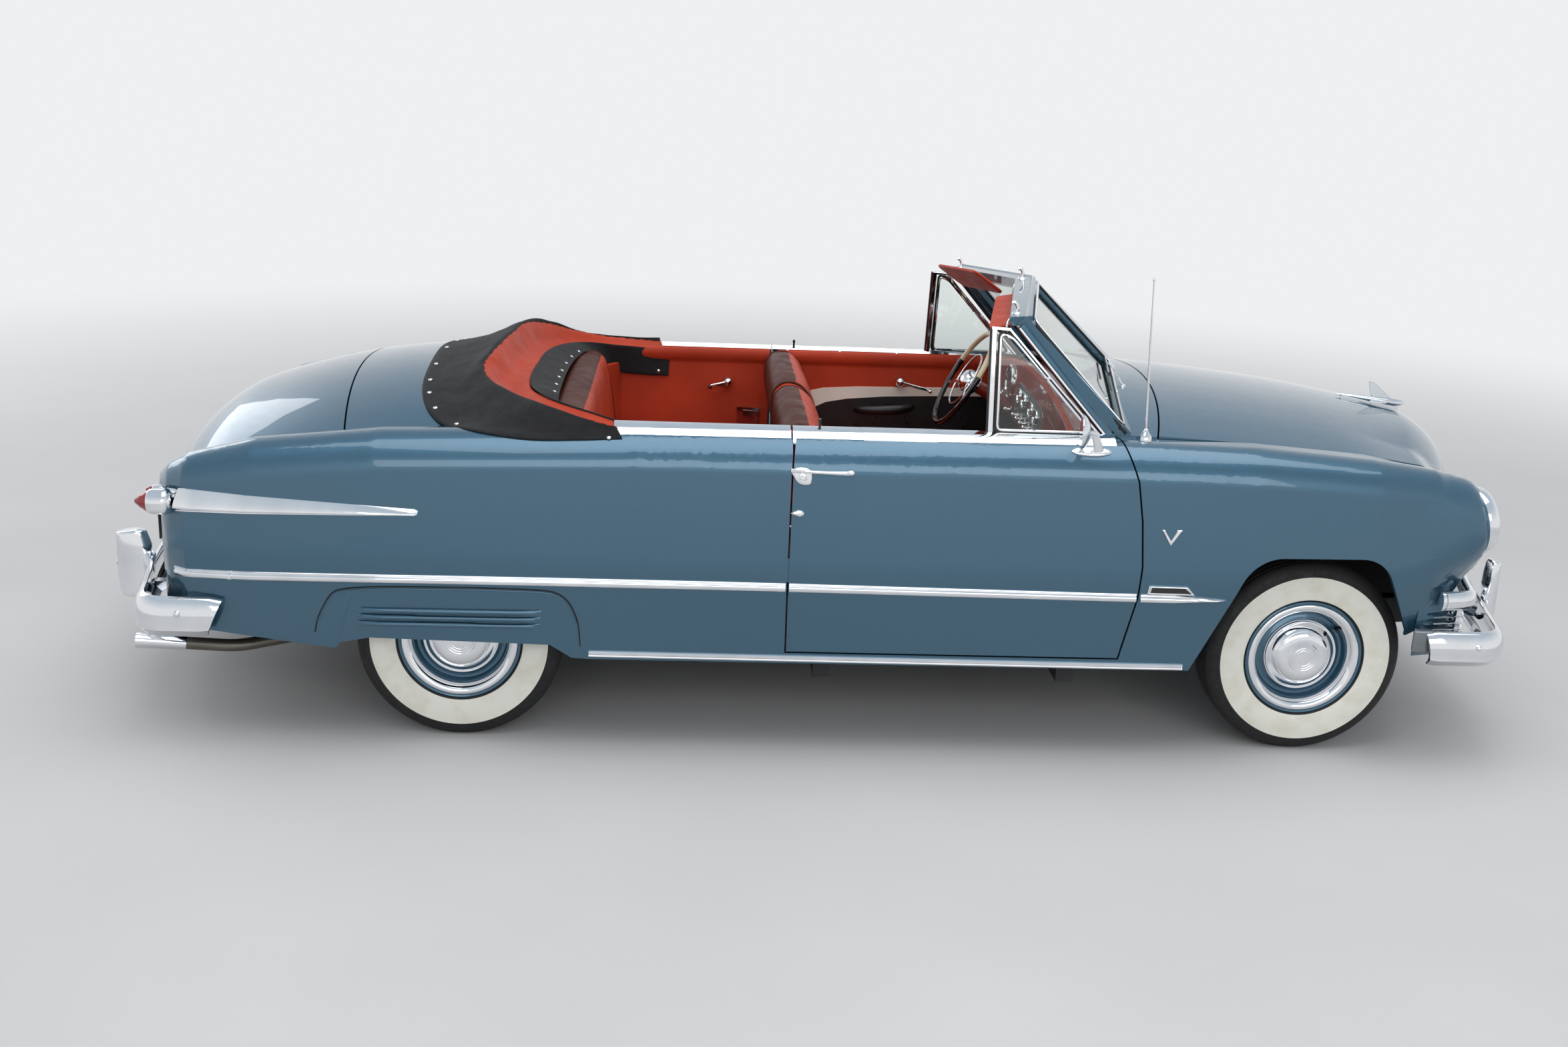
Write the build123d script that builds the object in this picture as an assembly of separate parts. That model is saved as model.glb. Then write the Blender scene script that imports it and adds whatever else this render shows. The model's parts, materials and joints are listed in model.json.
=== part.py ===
from build123d import *
import os
from functools import cache
from math import cos, radians, sin, sqrt

# Two-door convertible car with a slab-sided body, its folding top stowed under a fabric boot.
# Millimetres. X forward, Y to the car's left, Z up. Origin on the ground, midway along and across.

# Whole car
WHEELBASE = 2896
FRONT_AXLE_X = 1643
REAR_AXLE_X = FRONT_AXLE_X - WHEELBASE
TRACK = 1422
FRONT_X = 2494.5
REAR_X = -2494.5

# Gaps and thicknesses
GAP = 6
SEAT_GAP = 0.3
SKIN = 22
LID_SKIN = 14
CABIN_WALL_Y = 752

# Tyres, wheels and hubs
TYRE_R = 343
TYRE_W = 178
RIM_R = 198
RIM_W = 140
HUB_R = 62
CAP_R = 128
STUB_R = 22
BEARING_GAP = 0.05
DRUM_R = 150
DRUM_IN_Y = TRACK / 2 - 39
DRUM_OUT_Y = TRACK / 2 - 5
STUB_END_Y = TRACK / 2 + 28

# Body side, right and left alike: one row per station from tail to nose.
# x, yaw of the station, half width at waist, half width at shoulder, bottom z, crown z,
# half width of the seam with hood or deck, seam z, shoulder radius, waist z
SIDE = [
    (-2225, 12, 800, 775, 440, 905, 664, 870, 60, 640),
    (-2190, 8, 850, 815, 405, 950, 664, 900, 80, 640),
    (-2110, 0, 890, 850, 395, 993, 664, 940, 100, 640),
    (-1900, 0, 912, 872, 375, 1050, 692, 1004, 120, 640),
    (-1500, 0, 921, 880, 325, 1080, 712, 1056, 130, 640),
    (-700, 0, 925, 884, 325, 1098, 735, 1088, 130, 640),
    (900, 0, 925, 884, 325, 1096, 735, 1092, 130, 640),
    (1400, 0, 921, 878, 325, 1076, 722, 1084, 130, 640),
    (1800, 0, 905, 862, 380, 1048, 694, 1050, 120, 640),
    (2030, -4, 872, 832, 480, 1012, 662, 1018, 105, 690),
    (2150, -10, 838, 806, 610, 972, 640, 978, 90, 760),
    (2222, -18, 805, 782, 700, 934, 622, 935, 70, 800),
    (2262, -25, 785, 768, 735, 905, 610, 905, 55, 815),
]
TAIL_ROUND_X = -2000
NOSE_ROUND_X = 1900
STATION_PIVOT_Y = -700
TUCK = 38
WAIST_R_SHARE = 1.6

# Hood and deck: crown arcs swept along centre lines
HOOD_CROWN_R = 2660
DECK_CROWN_R = 2080
HOOD_LINE = [(880, 1207), (1560, 1163), (2180, 1080), (2392, 846), (2404, 720)]
DECK_LINE = [(-1250, 1192), (-1738, 1141), (-2040, 1058), (-2318, 800), (-2345, 640), (-2338, 410)]
HOOD_SEAM_X = 1067
HOOD_SEAM_BOW = 108
LID_SEAM_X = -1625
LID_SEAM_BOW = -60
HOOD_LIP_Z = 815
HOOD_POST_Z = 1062
NOSE_LOW_Z = 722
LID_LOW_Z = 640
PANEL_LOW_Z = 400

# Doors
DOOR_FRONT = [(915, 1130), (968, 981), (989, 852), (1001, 699), (995, 588), (956, 368)]
DOOR_REAR_X = -165
DOOR_SLANT = 20
DOOR_LOW_Z = 368
DOOR_HINGE_X = 1001
HALF_WIDTH = 925
DOOR_SWING = 65

# Wheel openings and skirts
ARCH = [(1190, 280), (1385, 737), (1830, 737), (1962, 470), (1962, 280)]
ARCH_RADII = [0, 150, 120, 0, 0]
SKIRT = [(-1647, 333), (-1569, 566), (-1280, 579), (-955, 574), (-873, 532), (-830, 326), (-872, 328),
         (-943, 374), (-1529, 386), (-1628, 365)]

# Cabin and floor
FLOOR_Z = 300
FLOOR_T = 18
HEEL_X = -420
TRUNK_X = -1680
TRUNK_Y = TRACK / 2 - TYRE_W / 2 - 34
SEAT_PAN_Z = 430
HUMP_Z = 560
SEAT_LOW_Z = 432
SHAFT_TUNNEL_Z = 415
GEAR_TUNNEL_Z = 558
FIREWALL_X = 1000
FIREWALL_T = 15
WALL_REAR_X = -880
WHEELHOUSE_X = 882
TUNNEL_Y = 150
CUSHION_Y = CABIN_WALL_Y - 14
REAR_BACK_Y = 570
# Half width, and the heights at the ends and the middle of the crown
DASH_END = (725, 1068)
DASH_MID_Z = 1172
BOOT_END = (900, 1104)
BOOT_MID_Z = 1266

# Frame and drive
GEARBOX_REAR_X = 700
SPRING_Y = TRACK / 2 - 191
SPRING_W = 60
SHAFT_R = 34
SHAFT_CLEARANCE = 19
CROSS_H = 50
RAIL_Y = TRACK / 2 - 281
RAIL_W = 70
RAIL_H = 96
RAIL_LINE = [(2230, 380), (1300, 300), (1040, 200), (-720, 200), (-1050, 440), (-1540, 440), (-1660, 310),
             (-2240, 310)]
# x from, x to, z from, z to
CROSS_MEMBERS = [
    (1580, 1706, 300, 400),
    (2170, 2220, 385, 455),
    (-2220, -2170, 330, 400),
    (-1560, -1500, 484, 530),
]
OUTRIGGERS_X = [-60, 780]
OUTRIGGER_END_Y = -790
EXHAUST_R = 22
EXHAUST_LOW_Z = 178
MUFFLER_R = 48

# Lamps
LAMP_CENTRE = (2190, -718, 832)
LAMP_AXIS = (cos(radians(10)), 0, sin(radians(10)))
LAMP_R = 113
TAIL_CENTRE = (-2118, -852, 838)
# Turned profiles: radius, distance along the lamp's axis
LAMP_LENS = [(0, 74), (100, 74), (92, 88), (60, 101), (14, 108), (0, 108)]
TAIL_LENS = [(0, 102), (34, 102), (26, 122), (5, 148), (0, 148)]

# Trim
BELT = [(-2160, 609), (-2160, 627), (1270, 596), (1296, 586), (1270, 577)]
BELT_PROUD = 8
VENT = [(482, 1084), (874, 1084), (540, 1436), (482, 1440)]
VENT_Y = -760
GRILLE_Z = 586
LOUVRES_Z = [462, 490, 518]
BUMPER_Z = 425
BUMPER_HALF_Y = 905
GUARD_Y = 400

# Windshield: right pane corners, x, half width, z
GLASS_LOW_MID = (1052, 0, 1212)
GLASS_LOW_END = (934, 735, 1118)
GLASS_TOP_MID = (760, 0, 1492)
GLASS_TOP_END = (620, 650, 1450)
PILLAR_W = 34
PILLAR_T = 40
GLASS_T = 6

# Steering
KINGPIN_Y = TRACK / 2 - 71
KINGPIN_R = 12
LOWER_ARM_DROP = 129
UPPER_ARM_RISE = 127
STEER_SWING = 28
WHEEL_TILT = 29.6
WHEEL_HUB = (620, 360, 1050)
STEERING_R = 204
RIM_BAR_R = 11
HORN_RING_R = 112
WHEEL_DISH = 40
SPOKE_DROP = 18
COLUMN_R = 26
COLUMN_LENGTH = 640


def outline(points, radius=0):
    if radius == 0:
        return make_face(Polyline(*points, close=True))
    return make_face(FilletPolyline(*points, radius=radius, close=True))


def prism_x(points, x0, x1, radius=0):
    return extrude(Plane.YZ.offset(x0) * outline(points, radius), x1 - x0)


def prism_y(points, y0, y1, radius=0):
    plane = Plane(origin=(0, y1, 0), x_dir=(1, 0, 0), z_dir=(0, -1, 0))
    return extrude(plane * outline(points, radius), y1 - y0)


def prism_z(points, z0, z1, radius=0):
    return extrude(Plane.XY.offset(z0) * outline(points, radius), z1 - z0)


def block(x0, x1, y0, y1, z0, z1):
    return Pos((x0 + x1) / 2, (y0 + y1) / 2, (z0 + z1) / 2) * Box(x1 - x0, y1 - y0, z1 - z0)


def rod(start, end, radius):
    """Round bar between two points."""
    axis = Vector(*end) - Vector(*start)
    return extrude(Plane(origin=start, z_dir=axis) * Circle(radius), axis.length)


def pipe(points, bends, radius):
    """Round bar along straight runs joined by arcs."""
    line = FilletPolyline(*points, radius=bends)
    return sweep(Plane(origin=line @ 0, z_dir=line % 0) * Circle(radius), path=line)


def turned(profile, centre, axis, x_dir):
    """Solid turned about an axis through centre; profile points are (radius, distance along axis)."""
    across = Plane(origin=centre, x_dir=x_dir, z_dir=Vector(*x_dir).cross(Vector(*axis)))
    return revolve(across * outline(profile), Axis(centre, axis), 360)


def mirrored(shape):
    return mirror(shape, about=Plane.XZ)


def both(shape):
    return shape + mirrored(shape)


def station_plane(x, yaw):
    ahead, across = cos(radians(yaw)), sin(radians(yaw))
    return Plane(origin=(x, STATION_PIVOT_Y, 0), x_dir=(-across, ahead, 0), z_dir=(ahead, across, 0))


@cache
def side_block(inset=0, inner=0, lower=0):
    """Solid of the right body side: skin moved in by inset, inner wall by inner, bottom by lower."""
    faces = []
    for x, yaw, y_waist, y_top, z_low, z_top, y_seam, z_seam, radius, z_waist in SIDE:
        shift = inset if x < TAIL_ROUND_X else -inset if x > NOSE_ROUND_X else 0
        points = [
            (inner - y_seam - STATION_PIVOT_Y, z_low - lower),
            (TUCK + inset - y_waist - STATION_PIVOT_Y, z_low - lower),
            (inset - y_waist - STATION_PIVOT_Y, z_waist),
            (inset - y_top - STATION_PIVOT_Y, z_top - inset),
            (inner - y_seam - STATION_PIVOT_Y, z_seam - inset),
        ]
        radii = [0, 0, WAIST_R_SHARE * (z_waist - z_low), radius - inset, 0]
        faces.append(station_plane(x + shift, yaw) * outline(points, radii))
    return loft(faces, ruled=True)


def seam_strip(clearance):
    """Tall block between the two seams, narrower than them by clearance."""
    right = []
    for x, yaw, _, _, _, _, y_seam, _, _, _ in SIDE:
        across = clearance - y_seam - STATION_PIVOT_Y
        turn = radians(yaw)
        right.append((x - across * sin(turn), STATION_PIVOT_Y + across * cos(turn)))
    right = [(REAR_X, right[0][1])] + right + [(FRONT_X, right[-1][1])]
    left = [(x, -y) for x, y in reversed(right)]
    return prism_z(right + left, 0, 1500)


def bowed_region(corner_x, bow, reach):
    """Tall block from a bowed seam across the car to reach."""
    seam = ThreePointArc((corner_x, -735, 0), (corner_x + bow, 0, 0), (corner_x, 735, 0))
    back = Polyline((corner_x, 735, 0), (corner_x, 1100, 0), (reach, 1100, 0), (reach, -1100, 0),
                    (corner_x, -1100, 0), (corner_x, -735, 0))
    return extrude(make_face([*seam.edges(), *back.edges()]), 1500)


def crown_sheet(line, crown_r, half_width, thickness):
    """Crowned sheet: an arc across the car swept along a centre line of edges."""
    start = line @ 0
    across = Plane(origin=start, x_dir=(0, 1, 0), z_dir=line % 0)
    up = 1 if across.y_dir.Z > 0 else -1
    drop = crown_r - sqrt(crown_r ** 2 - half_width ** 2)
    top = ThreePointArc((-half_width, -up * drop), (0, 0), (half_width, -up * drop))
    low = ThreePointArc((half_width, -up * (drop + thickness)), (0, -up * thickness),
                        (-half_width, -up * (drop + thickness)))
    ends = [Line(top @ 1, low @ 0), Line(low @ 1, top @ 0)]
    face = make_face([*top.edges(), *ends[0].edges(), *low.edges(), *ends[1].edges()])
    return sweep(across * face, path=line)


def hood_line():
    p = [(x, 0, z) for x, z in HOOD_LINE]
    top = ThreePointArc(p[0], p[1], p[2])
    nose = TangentArc(p[2], p[3], tangent=top % 1)
    chin = TangentArc(p[3], p[4], tangent=nose % 1)
    return Wire([*top.edges(), *nose.edges(), *chin.edges()])


def deck_line():
    p = [(x, 0, z) for x, z in DECK_LINE]
    top = ThreePointArc(p[0], p[1], p[2])
    tail = TangentArc(p[2], p[3], tangent=top % 1)
    back = TangentArc(p[3], p[4], tangent=tail % 1)
    low = Line(p[4], p[5])
    return Wire([*top.edges(), *tail.edges(), *back.edges(), *low.edges()])


def door_outline(grow=0):
    front = [(x + grow, z) for x, z in DOOR_FRONT[:-1]]
    low = (DOOR_FRONT[-1][0] + grow, DOOR_LOW_Z - grow)
    rear_x = DOOR_REAR_X - grow - 40
    return front + [low, (rear_x, DOOR_LOW_Z - grow), (rear_x, DOOR_FRONT[0][1])]


def door_space(grow=0):
    """Space of the right door through the whole wall, its rear face slanted to clear the lock pillar."""
    side = prism_y(door_outline(grow), -1000, -600)
    slope = DOOR_SLANT / (HALF_WIDTH - CABIN_WALL_Y)
    rear_out = DOOR_REAR_X - grow - slope * (1000 - HALF_WIDTH)
    rear_in = DOOR_REAR_X - grow + slope * (HALF_WIDTH - 600)
    return side & prism_z([(rear_out, -1000), (1200, -1000), (1200, -600), (rear_in, -600)], 0, 1500)


def skirt_outline(grow=0):
    left, right, low = -1647 - grow, -830 + grow, 300
    return [(left, low), (left, 333), (-1569 - grow, 566 + grow), (-1280, 579 + grow),
            (-955, 574 + grow), (-873 + grow, 532 + grow), (right, 326), (right, low)]


@cache
def skin_layer(proud):
    return side_block(-proud) - side_block()


def skin_strip(points, proud, y0=-1000, y1=-700):
    """Trim lying on the body side, standing proud of it by a set amount."""
    return skin_layer(proud) & prism_y(points, y0, y1)


def side_shell():
    """Skin of the right body side, open at the bottom and towards the middle."""
    return side_block() - side_block(SKIN, 60, 80)


def front_fender(shell):
    fender = shell & block(880, 2400, -1000, -400, 0, 1200)
    fender -= door_space(GAP)
    fender -= prism_y(ARCH, -1000, -500, ARCH_RADII)
    fender -= block(700, 950, -1000, -400, 0, DOOR_LOW_Z)
    return fender - lamp_space()


def quarter_panel(shell):
    wall = side_block() & block(WALL_REAR_X, 950, -1000, -CABIN_WALL_Y, 0, 1200)
    panel = (shell & block(-2300, WALL_REAR_X, -1000, -400, 0, 1200)) + wall
    panel -= door_space(GAP)
    panel -= block(DOOR_REAR_X, 1200, -1000, -400, DOOR_LOW_Z - GAP, 1200)
    panel -= prism_y(skirt_outline(SEAT_GAP), -1000, -500)
    striker = block(DOOR_REAR_X - 30, DOOR_REAR_X + 20, -918, -900, 620, 700) & side_block()
    panel += striker - door_space(0.4)
    return panel - tail_bezel(SEAT_GAP)


def skirt(shell):
    rib_rows = [486, 462.5, 439]
    plate = shell & prism_y(SKIRT, -1000, -800)
    for z in rib_rows:
        plate += skin_strip([(-1550, z - 7), (-980, z - 7), (-980, z + 7), (-1550, z + 7)], 6)
    return plate


def headlight_shell(grow=0):
    return turned([(0, -60 - grow), (96 + grow, -60 - grow), (LAMP_R + grow, 20), (LAMP_R + grow, 74 + grow),
                   (0, 74 + grow)], LAMP_CENTRE, LAMP_AXIS, (0, 1, 0))


def lamp_space():
    """Room for the right headlight, open to the front."""
    grown = LAMP_R + SEAT_GAP
    front = turned([(0, 60), (grown, 60), (grown, 200), (0, 200)], LAMP_CENTRE, LAMP_AXIS, (0, 1, 0))
    return headlight_shell(SEAT_GAP) + front


def headlight():
    return headlight_shell() + turned(LAMP_LENS, LAMP_CENTRE, LAMP_AXIS, (0, 1, 0))


def tail_bezel(grow=0):
    return turned([(0, -grow), (34 + grow, -grow), (42 + grow, 60), (42 + grow, 102), (0, 102)],
                  TAIL_CENTRE, (-1, 0, 0), (0, 0, 1))


def tail_lamp():
    return tail_bezel() + turned(TAIL_LENS, TAIL_CENTRE, (-1, 0, 0), (0, 0, 1))


def hood():
    sheet = crown_sheet(hood_line(), HOOD_CROWN_R, 760, LID_SKIN) & seam_strip(GAP)
    sheet &= bowed_region(HOOD_SEAM_X, HOOD_SEAM_BOW, 2600)
    return sheet & block(0, 2600, -900, 900, HOOD_LIP_Z, 1300)


def nose_panel():
    sheet = crown_sheet(hood_line(), HOOD_CROWN_R, 760, LID_SKIN) & seam_strip(SEAT_GAP)
    thick = crown_sheet(hood_line(), HOOD_CROWN_R, 760, 100)
    returns = (thick & both(block(2240, 2600, -660, -596, 0, 1200))) - both(side_block())
    panel = (sheet + returns) & block(0, 2600, -900, 900, NOSE_LOW_Z, HOOD_LIP_Z - GAP)
    return panel - both(lamp_space())


def deck_lid():
    sheet = crown_sheet(deck_line(), DECK_CROWN_R, 760, LID_SKIN) & seam_strip(GAP)
    sheet &= bowed_region(LID_SEAM_X, LID_SEAM_BOW, -2600)
    return sheet & block(-2600, 0, -900, 900, LID_LOW_Z, 1300)


def rear_panel():
    sheet = crown_sheet(deck_line(), DECK_CROWN_R, 760, LID_SKIN) & seam_strip(SEAT_GAP)
    thick = crown_sheet(deck_line(), DECK_CROWN_R, 760, 100)
    returns = (thick & both(block(-2600, -2205, -690, -645, 0, 1200))) - both(side_block())
    panel = (sheet + returns) & block(-2600, -2100, -900, 900, PANEL_LOW_Z, LID_LOW_Z - GAP)
    return panel + block(-2342, -2326, -20, 20, LID_LOW_Z - 40, LID_LOW_Z - 0.4)


def tonneau_panel():
    sheet = crown_sheet(deck_line(), DECK_CROWN_R, 760, LID_SKIN) & seam_strip(SEAT_GAP)
    sheet -= bowed_region(LID_SEAM_X + GAP, LID_SEAM_BOW, -2600)
    well = [(-1370, -430), (-1370, 430), (-1280, 600), (-1000, 640), (-1000, -640), (-1280, -600)]
    return sheet - prism_z(well, 0, 1500, [120, 120, 60, 0, 0, 60])


def cowl():
    sheet = crown_sheet(hood_line(), HOOD_CROWN_R, 760, LID_SKIN) & seam_strip(SEAT_GAP)
    sheet -= bowed_region(HOOD_SEAM_X - GAP, HOOD_SEAM_BOW, 2600)
    sheet &= block(0, 1300, -900, 900, 1000, 1300)
    arc = ThreePointArc((-720, 1092), (0, 1192), (720, 1092))
    legs = Polyline((720, 1092), (720, FLOOR_Z + FLOOR_T), (TUNNEL_Y, FLOOR_Z + FLOOR_T), (TUNNEL_Y, 540),
                    (-TUNNEL_Y, 540), (-TUNNEL_Y, FLOOR_Z + FLOOR_T), (-720, FLOOR_Z + FLOOR_T), (-720, 1092))
    wall = extrude(Plane.YZ.offset(FIREWALL_X) * make_face([*arc.edges(), *legs.edges()]), FIREWALL_T)
    post_y = HALF_WIDTH - SKIN - 43
    pillar = block(FIREWALL_X + 8, FIREWALL_X + FIREWALL_T + 30, -post_y, -700, 340, 1000)
    for low in (430, 630):
        pillar += block(940, FIREWALL_X + 12, 4 - post_y, -800, low, low + 56) - door_space(0.4)
    panel = sheet + wall + both(pillar)
    return panel - windshield_solid() - rod(*column_ends(), COLUMN_R + SEAT_GAP)


def door():
    return side_block() & door_space() & block(-500, 1200, -1000, -CABIN_WALL_Y, 0, 1200)


def door_trim():
    """Chrome on the right door: belt moulding, sill, vent frame and handle."""
    inside = door_space(-1)
    belt = skin_strip(BELT, BELT_PROUD) & inside
    sill = skin_strip([(-160, 1000), (905, 1000), (905, 1130), (-160, 1130)], 4, -806, -CABIN_WALL_Y) & inside
    frame = vent_plate(VENT, 14) - vent_plate(vent_inner(), 40)
    grip = rod((-142, -920, 983), (32, -914, 976), 8)
    post = rod((-142, -885, 983), (-142, -920, 983), 10)
    key = rod((-142, -885, 940), (-142, -908, 940), 10)
    handle = (grip + post + key) - side_block()
    return belt + sill + (frame - side_block(-4)) + handle


def vent_plate(points, thickness):
    lean = radians(10.3)
    plane = Plane(origin=(0, VENT_Y, 1098), x_dir=(1, 0, 0), z_dir=(0, -cos(lean), sin(lean)))
    return extrude(plane * outline([(x, z - 1098) for x, z in points]), thickness / 2, both=True)


def vent_inner(edge=14):
    (x0, z0), (x1, _), (x2, z2), (_, z3) = VENT
    return [(x0 + edge, z0 + edge), (x1 - 2.4 * edge, z0 + edge), (x2 - 0.4 * edge, z2 - edge),
            (x0 + edge, z3 - edge)]


def mirror_arm():
    base = rod((826, -802, 1075), (826, -822, 1092), 16)
    stem = rod((826, -820, 1090), (815, -850, 1140), 5)
    head = turned([(0, -6), (54, -6), (58, 2), (30, 14), (8, 18), (0, 18)],
                  (812, -856, 1160), (1, 0, 0), (0, 1, 0))
    return (base + stem + head) - side_block(-4)


def pane_plane():
    low, end, top = Vector(*GLASS_LOW_MID), Vector(*GLASS_LOW_END), Vector(*GLASS_TOP_MID)
    across = end - low
    normal = across.cross(top - low)
    if normal.X < 0:
        normal = -normal
    return Plane(origin=low, x_dir=across, z_dir=normal)


def pane_points():
    plane = pane_plane()
    points = []
    for p in (GLASS_LOW_MID, GLASS_LOW_END, GLASS_TOP_END, GLASS_TOP_MID):
        local = plane.to_local_coords(Vector(*p))
        points.append((local.X, local.Y))
    return points


def windshield_solid():
    """Both halves of the windshield with its frame, filled."""
    face = offset(outline(pane_points()), PILLAR_W, kind=Kind.INTERSECTION)
    slab = extrude(pane_plane() * face, PILLAR_T / 2, both=True)
    right = mirrored(slab) if slab.center().Y > 0 else slab
    half = right & block(0, 1500, -733, 0, 900, 1700)
    return both(half)


def windshield_frame():
    hole = extrude(pane_plane() * outline(pane_points()), PILLAR_T, both=True)
    hole = mirrored(hole) if hole.center().Y > 0 else hole
    hole &= block(0, 1500, -900, -PILLAR_W / 3, 900, 1700)
    header = header_bar()
    return windshield_solid() + header - both(hole)


def header_bar():
    start, end = Vector(*GLASS_TOP_END), Vector(*GLASS_TOP_MID)
    start = Vector(start.X - 34, -start.Y - 12, start.Z + 12)
    end = Vector(end.X - 34, 0, end.Z + 14)
    along = end - start
    plane = Plane(origin=start, x_dir=(1, 0, 0.12), z_dir=along)
    bar = extrude(plane * Rectangle(74, 30), along.length + 40)
    return both(bar & block(0, 1500, -900, 0, 900, 1700))


def windshield_glass():
    pane = extrude(pane_plane() * outline(pane_points()), GLASS_T / 2, both=True)
    pane = mirrored(pane) if pane.center().Y > 0 else pane
    pane &= block(0, 1500, -900, -PILLAR_W / 3, 900, 1700)
    return both(pane)


def crowned_prism(half_y, end_z, mid_z, low_z, x0, x1):
    """Prism along the car under a crown that rises from end_z at the sides to mid_z."""
    arc = ThreePointArc((-half_y, end_z), (0, mid_z), (half_y, end_z))
    legs = Polyline((half_y, end_z), (half_y, low_z), (-half_y, low_z), (-half_y, end_z))
    return extrude(Plane.YZ.offset(x0) * make_face([*arc.edges(), *legs.edges()]), x1 - x0)


def dashboard():
    profile = [(900, 1000), (900, 1250), (790, 1250), (772, 1060), (786, 920), (815, 900), (830, 930),
               (850, 1000)]
    half_y, end_z = DASH_END
    panel = prism_y(profile, -half_y, half_y) & crowned_prism(half_y, end_z, DASH_MID_Z, 800, 500, 1100)
    return panel - rod(*column_ends(), COLUMN_R + SEAT_GAP) - windshield_solid()


def column_ends():
    hub = Vector(*WHEEL_HUB)
    along = Vector(cos(radians(WHEEL_TILT)), 0, -sin(radians(WHEEL_TILT)))
    return hub + along * 24.3, hub + along * COLUMN_LENGTH


def steering_column():
    start, end = column_ends()
    box = Pos(end.X, end.Y, end.Z) * Box(120, 90, 130)
    return rod(start, end, COLUMN_R) + box


def steering_wheel():
    """Round rim with a horn ring inside it, two spokes down and a domed hub, facing the driver."""
    hub = WHEEL_HUB
    axis = (cos(radians(WHEEL_TILT)), 0, -sin(radians(WHEEL_TILT)))
    face = Plane(origin=hub, x_dir=(0, 1, 0), z_dir=axis)

    def ring(radius, bar, along):
        turns = [(sin(radians(22.5 + 45 * i)), cos(radians(22.5 + 45 * i))) for i in range(8)]
        section = [(radius + bar * a, along + bar * b) for a, b in turns]
        return turned(section, hub, axis, (0, 1, 0))

    wheel = ring(STEERING_R, RIM_BAR_R, -WHEEL_DISH) + ring(HORN_RING_R, 4, 8 - WHEEL_DISH)
    dome = [(0, -44), (14, -43), (30, -36), (40, -22), (40, -12), (30, -6), (36, 24), (0, 24)]
    wheel += turned(dome, hub, axis, (0, 1, 0))
    root = tuple(face.from_local_coords(Vector(0, 0, -20)))
    reach, drop = STEERING_R * cos(radians(SPOKE_DROP)), STEERING_R * sin(radians(SPOKE_DROP))
    for across in (-reach, reach):
        wheel += rod(root, tuple(face.from_local_coords(Vector(across, -drop, -WHEEL_DISH))), 7)
    return wheel


def front_seat():
    cushion = prism_y([(-70, 432), (430, 440), (448, 560), (420, 628), (360, 640), (-70, 596)],
                      -CUSHION_Y, CUSHION_Y, [20, 20, 40, 20, 30, 0])
    back = prism_y([(-2, 603.4), (-104, 1160), (-170, 1168), (-206, 1120), (-92, 594.1)],
                   6, CUSHION_Y, [0, 30, 30, 40, 0])
    return cushion + both(back)


def rear_seat():
    cushion = prism_y([(-780, 430.3), (-345, 430.3), (-330, 590), (-360, 620), (-780, 590)],
                      -CUSHION_Y, CUSHION_Y, [10, 10, 30, 30, 10])
    back = prism_y([(-780.3, 560.3), (-856, 1160), (-900, 1168), (-930, 1130), (-900, 560.3)],
                   -REAR_BACK_Y, REAR_BACK_Y, [0, 30, 20, 20, 0])
    return cushion + back


def top_boot():
    """Fabric cover over the stowed top, with the folded top inside it."""
    outer = [(-786, -838), (-1236, -806), (-1338, -616), (-1402, -266), (-1430, 0)]
    outer += [(x, -y) for x, y in reversed(outer[:-1])]
    plan = prism_z(outer, 1000, 1400, [0, 120, 300, 500, 900, 500, 300, 120, 0])
    inner = [(-700, -658), (-900, -650), (-958, -600), (-958, 600), (-900, 650), (-700, 658)]
    plan -= prism_z(inner, 900, 1400, [0, 30, 20, 20, 30, 0])
    plan &= crowned_prism(*BOOT_END, BOOT_MID_Z, 1060, -1600, -600)
    plan &= prism_y([(-1450, 1060), (-1450, 1150), (-1285, 1232), (-1075, 1266), (-945, 1200), (-740, 1116),
                     (-740, 1060)], -900, 900, [0, 60, 120, 60, 60, 0, 0])
    deck = crown_sheet(deck_line(), DECK_CROWN_R, 760, 200)
    plan -= Pos(0, 0, 1) * deck
    return plan - both(side_block(-SEAT_GAP))


def floor_profile():
    """Side outline of the floor from the firewall back to the tail, FLOOR_T thick all along."""
    z = FLOOR_Z + FLOOR_T
    top = [(FIREWALL_X, z), (HEEL_X, z), (HEEL_X - 20, SEAT_PAN_Z), (-840, SEAT_PAN_Z), (-880, HUMP_Z),
           (-1580, HUMP_Z), (TRUNK_X, SEAT_PAN_Z), (-2190, SEAT_PAN_Z)]
    low = [(FIREWALL_X, FLOOR_Z), (HEEL_X - 8, FLOOR_Z), (HEEL_X - 28, SEAT_PAN_Z - FLOOR_T),
           (-848, SEAT_PAN_Z - FLOOR_T), (-888, HUMP_Z - FLOOR_T), (-1572, HUMP_Z - FLOOR_T),
           (TRUNK_X + 8, SEAT_PAN_Z - FLOOR_T), (-2190, SEAT_PAN_Z - FLOOR_T)]
    return top + low[::-1]


def tunnel():
    """Raised middle of the floor over the shaft, higher over the gearbox."""
    wide = TUNNEL_Y + FLOOR_T
    high_x = 640
    cover = block(HEEL_X, high_x + FLOOR_T, -wide, wide, FLOOR_Z, SHAFT_TUNNEL_Z)
    cover += block(high_x, FIREWALL_X, -wide, wide, FLOOR_Z, GEAR_TUNNEL_Z)
    cover -= block(HEEL_X - 10, high_x + 60, -TUNNEL_Y, TUNNEL_Y, 200, SHAFT_TUNNEL_Z - FLOOR_T)
    return cover - block(high_x + FLOOR_T, FIREWALL_X + 10, -TUNNEL_Y, TUNNEL_Y, 200, GEAR_TUNNEL_Z - FLOOR_T)


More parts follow.
